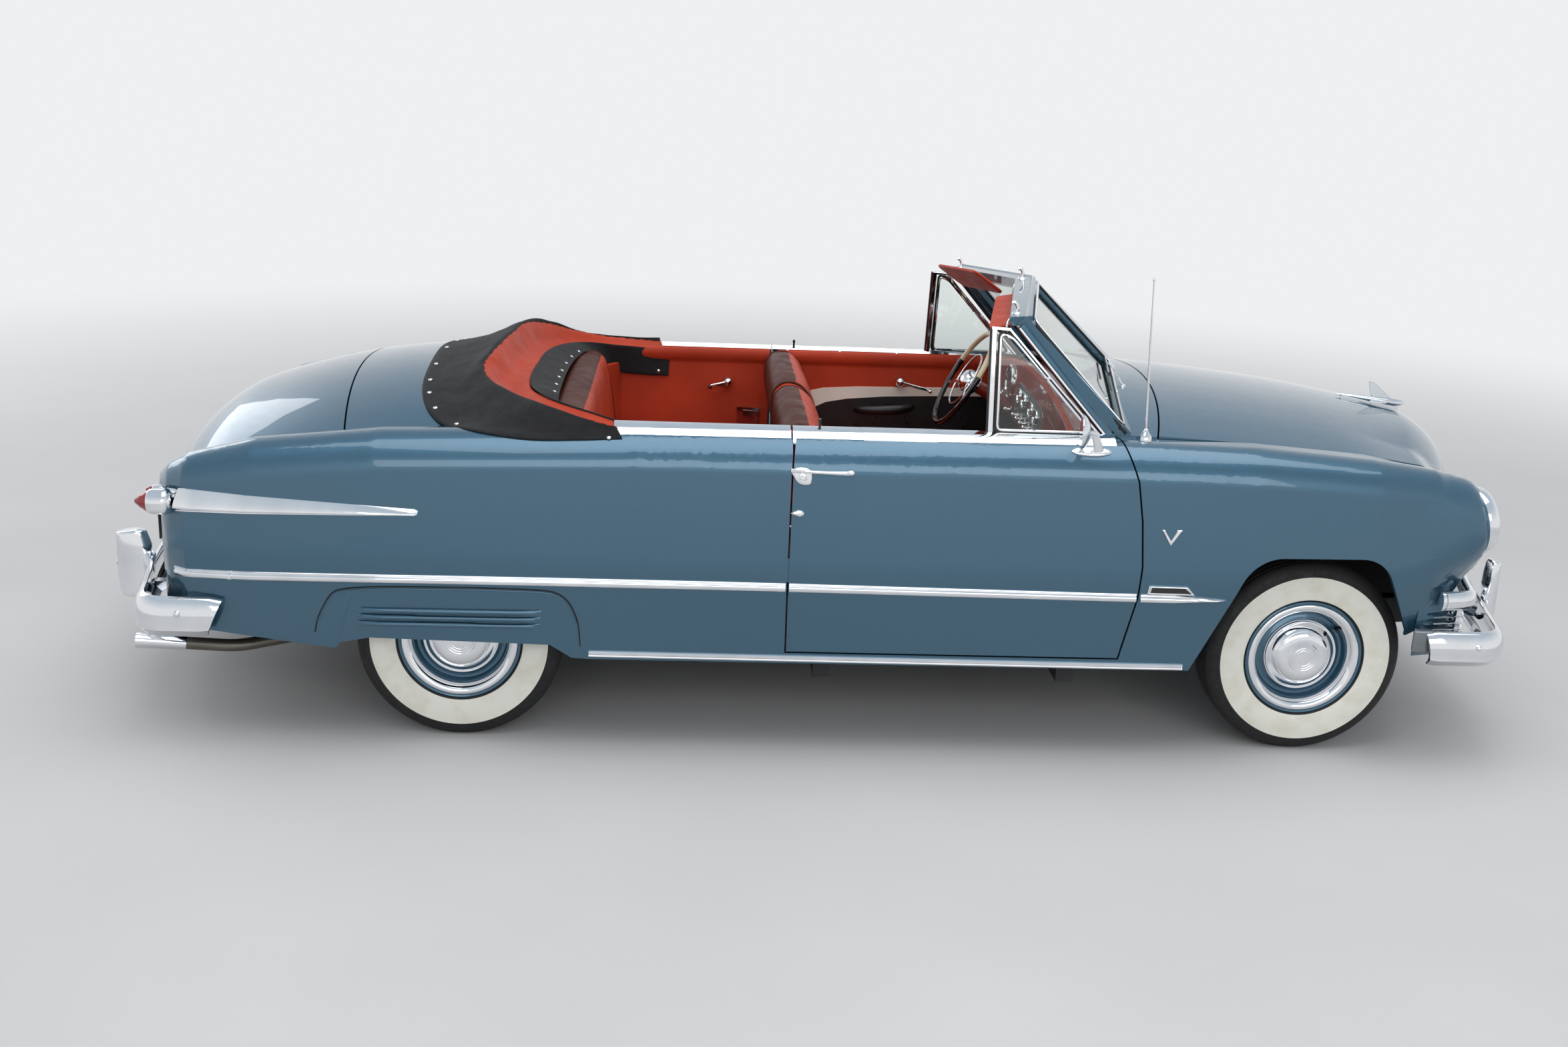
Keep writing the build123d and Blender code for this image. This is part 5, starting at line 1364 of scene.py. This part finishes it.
def windshield_trim():
    shape, rubber_shape, pillar = Shape(), Shape(), Shape()
    for side in (-1, 1):
        corners = [on_side(*corner, side) for corner in PANE]
        low_mid, low_end, _, top_mid = corners
        normal = (low_end - low_mid).cross(top_mid - low_mid).normalized()
        if normal.x < 0:
            normal = -normal
        pane_trim(shape, rubber_shape, corners, normal)
        seal = [on_side(*p, side) for p in PILLAR_SEAL]
        rubber_shape.sweep(seal, flat_bar(0.018, 0.026, 0.5), tuple(PILLAR_OUT))
        rubber_shape.tube([on_side(*p, side) + normal * 0.004 for p in PILLAR_EDGE], 0.0055, 8)
        seal = [p - Vector((0.003, 0, 0.003)) for p in seal]
        shape.tube([p + PILLAR_OUT * 0.0005 + Vector((0, side * 0.013, 0)) for p in seal], 0.0045, 8)
        pillar.sweep([p + PILLAR_OUT * 0.012 for p in seal], flat_bar(0.024, 0.022, 0.5), tuple(PILLAR_OUT))
        wiper(shape, rubber_shape, low_mid, low_end, normal, side)
    forward = Vector((0.69, 0, 0.72))
    divider = [Vector(p) + forward * 0.014 for p in ((1.054, 0, 1.222), (0.754, 0, 1.5))]
    shape.sweep(divider, flat_bar(0.022, 0.01, 0.7), tuple(forward))
    for y in (-0.6, 0.0, 0.6):
        latch(shape, header_point(y, -0.012, 0.01))
    piece("windshield_trim", shape, [CHROME], "root", angle=45)
    piece("windshield_rubber", rubber_shape, [SEAL], "root", angle=45)
    piece("pillar_covers", pillar, [PAINT], "root", angle=45)
    visor("visor_right", -0.555, -0.045, (0.022, -0.03), (-0.104, -0.052))
    visor("visor_left", 0.075, 0.475, (-0.046, -0.05), (-0.158, 0.028))


# Bumpers, grille and lamps

BUMPER_SECTION = [(0.064, -0.014), (0.062, -0.004), (0.054, 0.006), (0.038, 0.015), (0.018, 0.0205),
                  (0.0, 0.0225), (-0.016, 0.02), (-0.024, 0.0175), (-0.029, 0.0195), (-0.034, 0.019),
                  (-0.038, 0.0125), (-0.048, 0.002), (-0.058, -0.01), (-0.063, -0.02), (-0.059, -0.021),
                  (-0.046, -0.006), (-0.03, 0.004), (0.0, 0.012), (0.03, 0.006), (0.052, -0.006),
                  (0.06, -0.016)]
BUMPER_TOP = 0.064
GUARD_Y = 0.4


def bumper_bar(shape, end_x, corner_x, mid_x, slant, z, tall):
    """Bent bar from end to end, whose section leans by slant at the ends."""
    sign = 1 if mid_x > 0 else -1
    half = 0.905
    right = [(end_x, -half, z), (corner_x, -half, z), (mid_x, -0.25, z)]
    points = right + [(x, -y, h) for x, y, h in reversed(right)]
    path = corner_round(points, [0, 0.085, 0.3, 0.3, 0.085, 0], 14, closed=False)
    near = [Vector((blend_in(end_x, corner_x - sign * 0.085, k / 5), -half, z)) for k in range(5)]
    path = near + path[1:-1] + [Vector((p.x, -p.y, p.z)) for p in reversed(near)]
    n = len(path)
    rings = []
    for i, p in enumerate(path):
        along = (path[min(i + 1, n - 1)] - path[max(i - 1, 0)]).normalized()
        out = Vector((along.y, -along.x, 0))
        if out.dot(Vector((p.x - sign, p.y, 0))) < 0:
            out = -out
        end = min(i, n - 1 - i)
        lean = slant * max(0.0, 1 - end / 4)
        tight = 0.9 if end == 0 else 1.0
        rings.append([p + out * v * tight + Vector((-sign * lean * h / BUMPER_TOP / 2, 0, h * tight * tall))
                      for h, v in BUMPER_SECTION])
    shape.loft(rings)


def guard(shape, y, back, front, top_z):
    """Upright guard: a stack of rounded sections from its foot to its pointed top."""
    sign = 1 if front > 0 else -1
    # Height, half width, and the shares of the depth between which the section lies
    rows = [(0.347, 0.028, 0.3, 0.78), (0.352, 0.036, 0.12, 0.9), (0.37, 0.0395, 0.02, 0.97),
            (0.42, 0.04, 0.0, 1.0), (0.48, 0.038, 0.0, 1.0), (0.53, 0.035, 0.03, 0.99),
            (top_z - 0.03, 0.032, 0.08, 0.99), (top_z - 0.01, 0.029, 0.16, 0.99),
            (top_z - 0.003, 0.026, 0.24, 0.985), (top_z, 0.02, 0.4, 0.96)]
    squarish = [(abs(c) ** 0.75 * (1 if c >= 0 else -1), abs(s) ** 0.75 * (1 if s >= 0 else -1))
                for c, s in oval(1, 1, 24)]
    depth = abs(front - back)
    rings = []
    for z, half, a, b in rows:
        x0, x1 = back + sign * depth * a, back + sign * depth * b
        slope = 0.012 if z > 0.56 else 0
        rings.append([(blend_in(x0, x1, (u + 1) / 2), y + half * v, z + slope * (1 - u) / 2)
                      for u, v in squarish])
    shape.loft(rings)
    if sign < 0:
        shape.lathe([(0.02, -0.004), (0.018, 0.001), (0.014, -0.001), (0.0, -0.003)], (front, y, 0.47),
                    (sign, 0, 0), 24)


def bolt(shape, p, out):
    dome = [(0.0115, -0.004), (0.011, 0.002), (0.0085, 0.006), (0.0045, 0.0085), (0, 0.009)]
    shape.lathe(dome, p, out, 20)


def bumper(bar, guards, side_bolt, end_bolt, arm):
    """Bar with guards, bolts and arms; a bolt is (x, y, z) and an arm its two ends' x and two heights."""
    shape = Shape()
    bumper_bar(shape, **bar)
    ahead = 1 if bar["end_x"] > 0 else -1
    for side in (-1, 1):
        guard(shape, side * GUARD_Y, **guards)
        bolt(shape, on_side(*side_bolt, side), (0, side, 0.1))
        bolt(shape, on_side(*end_bolt, side), (ahead, 0, 0.1))
        x0, x1, z0, z1 = arm
        shape.box((x0, side * 0.41, z0), (x1, side * 0.45, z1))
    return shape


def bumpers():
    shape = bumper(bar={"end_x": 2.02, "corner_x": 2.275, "mid_x": 2.455, "slant": 0.02, "z": 0.425,
                        "tall": 1.0},
                   guards={"back": 2.44, "front": 2.4945, "top_z": 0.59},
                   side_bolt=(2.186, 0.926, 0.442), end_bolt=(2.4785, 0.16, 0.44),
                   arm=(2.23, 2.45, 0.395, 0.445))
    piece("front_bumper_look", shape, [CHROME], "root", ["front_bumper"], angle=40)
    pans = Shape()
    for side in (-1, 1):
        path = [(1.976, side * 0.878, 0.45), (1.99, side * 0.883, 0.45), (2.035, side * 0.884, 0.45)]
        pans.sweep(path, flat_bar(0.034, 0.08, 0.5))
    piece("bumper_pans", pans, [PAN_GREY], "root", angle=45)
    shape = bumper(bar={"end_x": -2.022, "corner_x": -2.264, "mid_x": -2.398, "slant": 0.055, "z": 0.444,
                        "tall": 1.1},
                   guards={"back": -2.372, "front": -2.4945, "top_z": 0.58},
                   side_bolt=(-2.133, 0.926, 0.466), end_bolt=(-2.4185, 0.16, 0.46),
                   arm=(-2.4, -2.24, 0.365, 0.415))
    plate_x, plate_half = -2.428, 0.16
    plate = [(-plate_half, 0.48), (plate_half, 0.48), (plate_half, 0.588), (-plate_half, 0.588)]
    shape.slab([(plate_x, y, z) for y, z in plate], (0.006, 0, 0), 1)
    for y in (-0.089, 0.089):
        shape.lathe([(0.009, 0.0), (0.009, 0.003), (0.006, 0.006), (0, 0.0065)], (plate_x, y, 0.56),
                    (-1, 0, 0), 12)
    piece("rear_bumper_look", shape, [CHROME, UNDER], "root", ["rear_bumper"], angle=40)


GRILLE_Z = 0.586
FINE_BARS_Z = (0.462, 0.484, 0.506, 0.528)
SPINNER = [(0.056, -0.033), (0.066, -0.028), (0.0715, -0.012), (0.0705, 0.004), (0.064, 0.014),
           (0.0585, 0.016), (0.055, 0.022), (0.0535, 0.036), (0.048, 0.054), (0.037, 0.07),
           (0.021, 0.081), (0.006, 0.0855), (0.0, 0.086)]
SPINNER_X = 2.29
PARKING_LAMP = (2.196, 0.715, 0.496)


def grille():
    shape = Shape()

    def bar_path(dx=0.0, z=GRILLE_Z, tip=(), start=2.06):
        """Bent path of a bar from side to side; tip holds more x values near its ends."""
        right = [(x, -0.862, z) for x in tip] + [(start + dx, -0.86, z), (2.17 + dx, -0.845, z),
                                                 (2.3 + dx, -0.42, z)]
        points = right + [(x, -y, h) for x, y, h in reversed(right)]
        ends = [0] * len(tip)
        return corner_round(points, ends + [0, 0.045, 0.2, 0.2, 0.045, 0] + ends, 9, closed=False)

    # Main bar: rounded in front, flatter behind, and growing from its domed ends
    rounded = [(-u if u > 0 else -0.45 * u, v) for u, v in oval(0.026, 0.034, 22)]
    domed = bar_path(tip=(2.056, 2.0575, 2.062, 2.069), start=2.08)
    grow = [0.25, 0.55, 0.78, 0.93]

    def end_size(t):
        k = round(t * (len(domed) - 1))
        k = min(k, len(domed) - 1 - k)
        return grow[k] if k < len(grow) else 1.0

    shape.sweep(domed, rounded, scale=end_size)
    thin = [(-0.012, 0.0), (-0.006, 0.0042), (0.012, 0.0052), (0.012, -0.0052), (-0.006, -0.0042)]
    for z in FINE_BARS_Z:
        shape.sweep(bar_path(-0.02, z), thin)
    for side in (-1, 1):
        shape.lathe(SPINNER, (SPINNER_X, side * GUARD_Y, GRILLE_Z), (1, 0, 0), 48)
        shape.box((2.2543, side * 0.3 - 0.006, 0.452), (2.298, side * 0.3 + 0.006, 0.6))
        shape.box((2.13, side * 0.838 - 0.008, 0.446), (2.146, side * 0.838 + 0.008, 0.6))
        lens = oval(0.033, 0.02, 24)
        axis = Vector((0.93, side * 0.36, 0)).normalized()
        across = Vector((0, 0, 1)).cross(axis)
        centre = on_side(*PARKING_LAMP, side)
        place = (centre, across, Vector((0, 0, 1)), axis)
        mound(shape, place, [(u * 1.5, v * 1.45) for u, v in lens],
              [(1.0, -0.02), (1.0, 0.008), (0.9, 0.013), (0.8, 0.01)])
        mound(shape, place, [(u * 1.2, v * 1.16) for u, v in lens],
              [(1.0, 0.008), (0.92, 0.016), (0.6, 0.021), (0.2, 0.023)], 1)
    piece("grille_look", shape, [CHROME, LENS], "root", ["grille"], angle=40)


# Turned parts, each (material, sides, profile): shell, rim, reflector, back, both faces of the lens, bulb
HEADLIGHT = (
    (3, 64, [(0.104, -0.13), (0.114, -0.078), (0.1165, -0.048), (0.1175, -0.018), (0.1178, 0.004),
             (0.1172, 0.013), (0.1145, 0.015)]),
    (0, 64, [(0.114, 0.01), (0.116, 0.016), (0.1158, 0.026), (0.114, 0.037), (0.1095, 0.047),
             (0.104, 0.0535), (0.0985, 0.056), (0.095, 0.054), (0.0935, 0.0495)]),
    (2, 64, [(0.0935, 0.0495), (0.088, 0.03), (0.07, 0.004), (0.045, -0.012), (0.0, -0.02)]),
    (0, 64, [(0.0, -0.058), (0.096, -0.058)]),
    (1, 64, [(0.094, 0.05), (0.09, 0.056), (0.076, 0.064), (0.056, 0.0705), (0.03, 0.075),
             (0.0, 0.0765)]),
    (1, 64, [(0.0, 0.0725), (0.029, 0.0712), (0.054, 0.067), (0.074, 0.06), (0.09, 0.051)]),
    (2, 20, [(0.0, 0.008), (0.01, 0.006), (0.013, -0.002), (0.011, -0.014)]),
)
# Rim and stepped lens of the large lamp, then of the small one beside it
TAIL_LAMP = (
    (0, 48, [(0.0, 0.03), (0.03, 0.032), (0.0405, 0.042), (0.0425, 0.048), (0.0435, 0.05),
             (0.0435, 0.055), (0.042, 0.057), (0.0415, 0.085), (0.04, 0.098), (0.037, 0.1025),
             (0.034, 0.102)]),
    (1, 40, [(0.0345, 0.101), (0.0335, 0.108), (0.03, 0.114), (0.0285, 0.1135), (0.0215, 0.128),
             (0.0205, 0.1275), (0.011, 0.141), (0.004, 0.147), (0.0, 0.1478)]),
)
SMALL_LAMP = (
    (0, 32, [(0.018, 0.04), (0.0215, 0.075), (0.0215, 0.104), (0.0185, 0.108)]),
    (1, 32, [(0.0185, 0.107), (0.0175, 0.116), (0.012, 0.128), (0.0, 0.133)]),
)


TAIL_LAMP_PLACE, SMALL_LAMP_PLACE = (-2.118, 0.852, 0.821), (-2.118, 0.785, 0.836)


def turned(shape, parts, centre, axis):
    for mark, sides, profile in parts:
        shape.lathe(profile, centre, axis, sides, mark)


def lamps():
    shape = Shape()
    for side in (-1, 1):
        centre, axis = lamp_axis(side)
        turned(shape, HEADLIGHT, centre, axis)
        nub = centre + axis * 0.055 + Vector((0, 0, -0.1045))
        shape.lathe([(0.004, -0.002), (0.004, 0.003), (0, 0.004)], nub, axis, 12)
    piece("headlights_look", shape, [CHROME, LENS, REFLECTOR, PAINT], "root", ["headlights"],
          angle=40)
    shape = Shape()
    for side in (-1, 1):
        turned(shape, TAIL_LAMP, on_side(*TAIL_LAMP_PLACE, side), (-1, 0, 0))
        turned(shape, SMALL_LAMP, on_side(*SMALL_LAMP_PLACE, side), (-1, 0, 0))
    piece("tail_lamps_look", shape, [CHROME, RED_LENS], "root", ["tail_lamps"], angle=40)


# Hood ornament, antenna, lid handle and tailpipe

# Spear of the ornament: x, half width, half height, height of its middle
ORNAMENT = [(1.955, 0.002, 0.0015, 1.1215), (1.975, 0.007, 0.005, 1.1205), (2.02, 0.011, 0.0085, 1.116),
            (2.08, 0.0145, 0.0115, 1.108), (2.14, 0.0185, 0.014, 1.101), (2.185, 0.0195, 0.015, 1.096),
            (2.212, 0.014, 0.011, 1.0955), (2.2275, 0.004, 0.0035, 1.096)]
# Its wing in (x, y), the stations of its foot, and its clear fin in (x, z)
WING = [(2.165, 0.008), (2.14, 0.026), (2.105, 0.046), (2.07, 0.058), (2.066, 0.052), (2.084, 0.03),
        (2.09, 0.008)]
WING_TIP_Y = 0.058
FOOT_X = (1.975, 2.03, 2.09, 2.15, 2.2)
FIN = [(2.098, 1.11), (2.14, 1.108), (2.183, 1.102), (2.16, 1.12), (2.132, 1.143), (2.108, 1.163),
       (2.092, 1.1715), (2.078, 1.1725), (2.082, 1.156), (2.09, 1.132)]
FIN_HALF = 0.0026


def ornament():
    shape, fin = Shape(), Shape()
    shape.loft([[(x, u, z + v) for u, v in oval(half, high, 20)] for x, half, high, z in ORNAMENT])
    for side in (-1, 1):
        outline = [(x, side * y, BODY.top(x, side * y).z + 0.004 + 0.12 * max(0.0, WING_TIP_Y - y))
                   for x, y in WING]
        shape.slab(outline, (0, 0, 0.0055))
    foot = [BODY.top(x, 0) - Vector((0, 0, 0.01)) for x in FOOT_X]
    shape.sweep(foot, flat_bar(0.02, 0.04, 0.4))
    fin.slab([(x, -FIN_HALF, z) for x, z in FIN], (0, 2 * FIN_HALF, 0))
    piece("ornament_look", shape, [CHROME], "hood", ["hood_ornament"], angle=50, bevel=0.0012)
    piece("ornament_fin", fin, [CLEAR_PLASTIC], "hood", bevel=0.0012)


def antenna():
    shape = Shape()
    base, top = Vector((1.018, -0.743, 1.09)), Vector((0.99, -0.752, 1.6315))
    shape.lathe([(0.024, -0.008), (0.0238, 0.004), (0.02, 0.015), (0.013, 0.023), (0.0075, 0.032),
                 (0.0055, 0.04)], base, (0, 0, 1), 28)
    joints = [base + Vector((0, 0, 0.036)), base.lerp(top, 0.45), base.lerp(top, 0.78)]
    for a, b, r in ((joints[0], joints[1], 0.004), (joints[1], joints[2], 0.0034),
                    (joints[2], top, 0.0028)):
        shape.tube([a, b], r, 10)
    shape.lathe([(0.003, -0.014), (0.0042, -0.012), (0.0042, -0.003), (0.0024, -0.0005), (0.0, 0.0)],
                top, (top - base).normalized(), 12)
    piece("antenna_look", shape, [CHROME], "root", ["antenna"], angle=40)


def lid_handle():
    shape = Shape()
    place = (Vector((-2.3405, 0, 0.7)), Vector((0, 1, 0)), Vector((0.0, 0, 1)),
             Vector((-1, 0, 0.04)).normalized())
    mound(shape, place, oval(0.016, 0.03), [(1.0, -0.004), (1.0, 0.004), (0.9, 0.008), (0.6, 0.01)])
    grip = curve_points([(-2.345, -0.058, 0.702), (-2.358, -0.048, 0.702), (-2.3635, 0.0, 0.702),
                         (-2.358, 0.048, 0.702), (-2.345, 0.058, 0.702)], 6)
    shape.sweep(grip, flat_bar(0.009, 0.018, 0.8))
    piece("lid_handle_look", shape, [CHROME], "deck_lid", ["lid_handle"], angle=50)


def tailpipe_tip():
    shape = Shape()
    tip, along = Vector((-2.375, -0.6, 0.25)), Vector((-0.99, -0.12, 0.085)).normalized()
    start = tip - along * 0.16
    shape.lathe([(0.0225, 0.0), (0.0245, 0.004), (0.025, 0.1), (0.0265, 0.152), (0.0275, 0.166),
                 (0.0255, 0.168), (0.0235, 0.15), (0.0225, 0.02), (0.0, 0.02)], start, along, 32)
    piece("tailpipe_tip", shape, [CHROME], "root", angle=40)


fixed_trim()
door_trims()
inner_panels()
steering_wheel()
dash_fittings()
windshield_trim()
bumpers()
grille()
lamps()
ornament()
antenna()
lid_handle()
tailpipe_tip()


# Camera, floor and light

def camera():
    """Photo viewpoint: a little above the car, square to its right side."""
    place = Vector((-0.4994, -5.8866, 2.2636))
    yaw, pitch, roll = radians(-3.593), radians(16.184), radians(2.443)
    ahead = Vector((-sin(yaw) * cos(pitch), cos(yaw) * cos(pitch), -sin(pitch)))
    level = Vector((cos(yaw), sin(yaw), 0))
    top = level.cross(ahead)
    right = level * cos(roll) + top * sin(roll)
    up = -level * sin(roll) + top * cos(roll)
    data = bpy.data.cameras.new("camera")
    data.sensor_width, data.lens = 36.0, 36.78
    obj = place_object("camera", data)
    turn = Matrix((right, up, -ahead)).transposed()
    obj.matrix_world = Matrix.Translation(place) @ turn.to_4x4()
    SCENE.camera = obj


PALE = (0.86, 0.87, 0.88, 1)


def seen(graph):
    """1 on rays that show the backdrop: from the camera, off metal and through glass."""
    rays = graph.new("LightPath").outputs
    total = rays["Is Camera Ray"]
    for name in ("Is Glossy Ray", "Is Transmission Ray"):
        total = graph.new("Math", {0: total, 1: rays[name]}, operation="ADD", use_clamp=True).outputs[0]
    return total


def pale_backdrop():
    """Pale world seen by the camera, in metal and in glass, over a softer sky that lights the car."""
    world = bpy.data.worlds.new("world")
    SCENE.world = world
    world.use_nodes = True
    graph = Graph(world.node_tree)
    height = graph.new("SeparateXYZ", {0: graph.new("TexCoord").outputs["Generated"]}).outputs["Z"]

    def graded(low, high, start, end, strength):
        """Light that goes from one colour to the other between two heights."""
        ramp = graph.new("ValToRGB", {0: height})
        first, last = ramp.color_ramp.elements
        first.position, first.color = start, low
        last.position, last.color = end, high
        return graph.new("Background", {0: ramp.outputs[0], 1: strength}).outputs[0]

    sky = graded((0.3, 0.31, 0.32, 1), (0.86, 0.88, 0.92, 1), 0.0, 0.5, 0.62)
    pale = graded(PALE, (0.5, 0.58, 0.66, 1), 0.2, 0.75, 1.0)
    mix = graph.new("MixShader", {0: seen(graph), 1: sky, 2: pale})
    graph.feed(graph.tree.nodes["World Output"].inputs[0], mix.outputs[0])


def floor():
    """Plain floor that runs out into the pale backdrop away from the car."""
    n = Nodes("floor")
    n.set(Base_Color=n.mix(n.spread(n.noise(0.8), 0, 1), (0.6, 0.6, 0.6, 1), (0.64, 0.64, 0.64, 1)),
          Roughness=0.75)
    away = n.new("VectorMath", {0: n.coords}, operation="LENGTH").outputs["Value"]
    far = n.new("MapRange", {"Value": away, "From Min": 3.5, "From Max": 11.0},
                interpolation_type="SMOOTHSTEP")
    share = n.new("Math", {0: far.outputs[0], 1: seen(n)}, operation="MULTIPLY")
    glow = n.new("Emission", {"Color": PALE})
    blend = n.new("MixShader", {0: share.outputs[0], 1: n.bsdf.outputs[0], 2: glow.outputs[0]})
    n.feed(n.tree.nodes["Material Output"].inputs[0], blend.outputs[0])
    mesh = bpy.data.meshes.new("floor")
    half = 60.0
    mesh.from_pydata([(-half, -half, 0), (half, -half, 0), (half, half, 0), (-half, half, 0)], [],
                     [(0, 1, 2, 3)])
    mesh.materials.append(n.mat)
    obj = place_object("floor", mesh)


def lamp(name, place, aim, size, power):
    data = bpy.data.lights.new(name, "AREA")
    data.shape, data.size, data.size_y, data.energy = "RECTANGLE", size[0], size[1], power
    obj = place_object(name, data)
    obj.location = place
    obj.rotation_euler = (Vector(aim) - Vector(place)).to_track_quat("-Z", "Y").to_euler()


camera()
pale_backdrop()
floor()
lamp("overhead", (0.5, -1.0, 6.5), (0, 0, 0.6), (8.0, 5.0), 260)
lamp("right_side", (1.0, -8.5, 4.2), (0, 0, 0.7), (9.0, 3.0), 170)
lamp("rear_fill", (-7.0, 5.0, 4.0), (0, 0, 0.8), (5.0, 3.0), 90)
SCENE.view_settings.view_transform = "Standard"
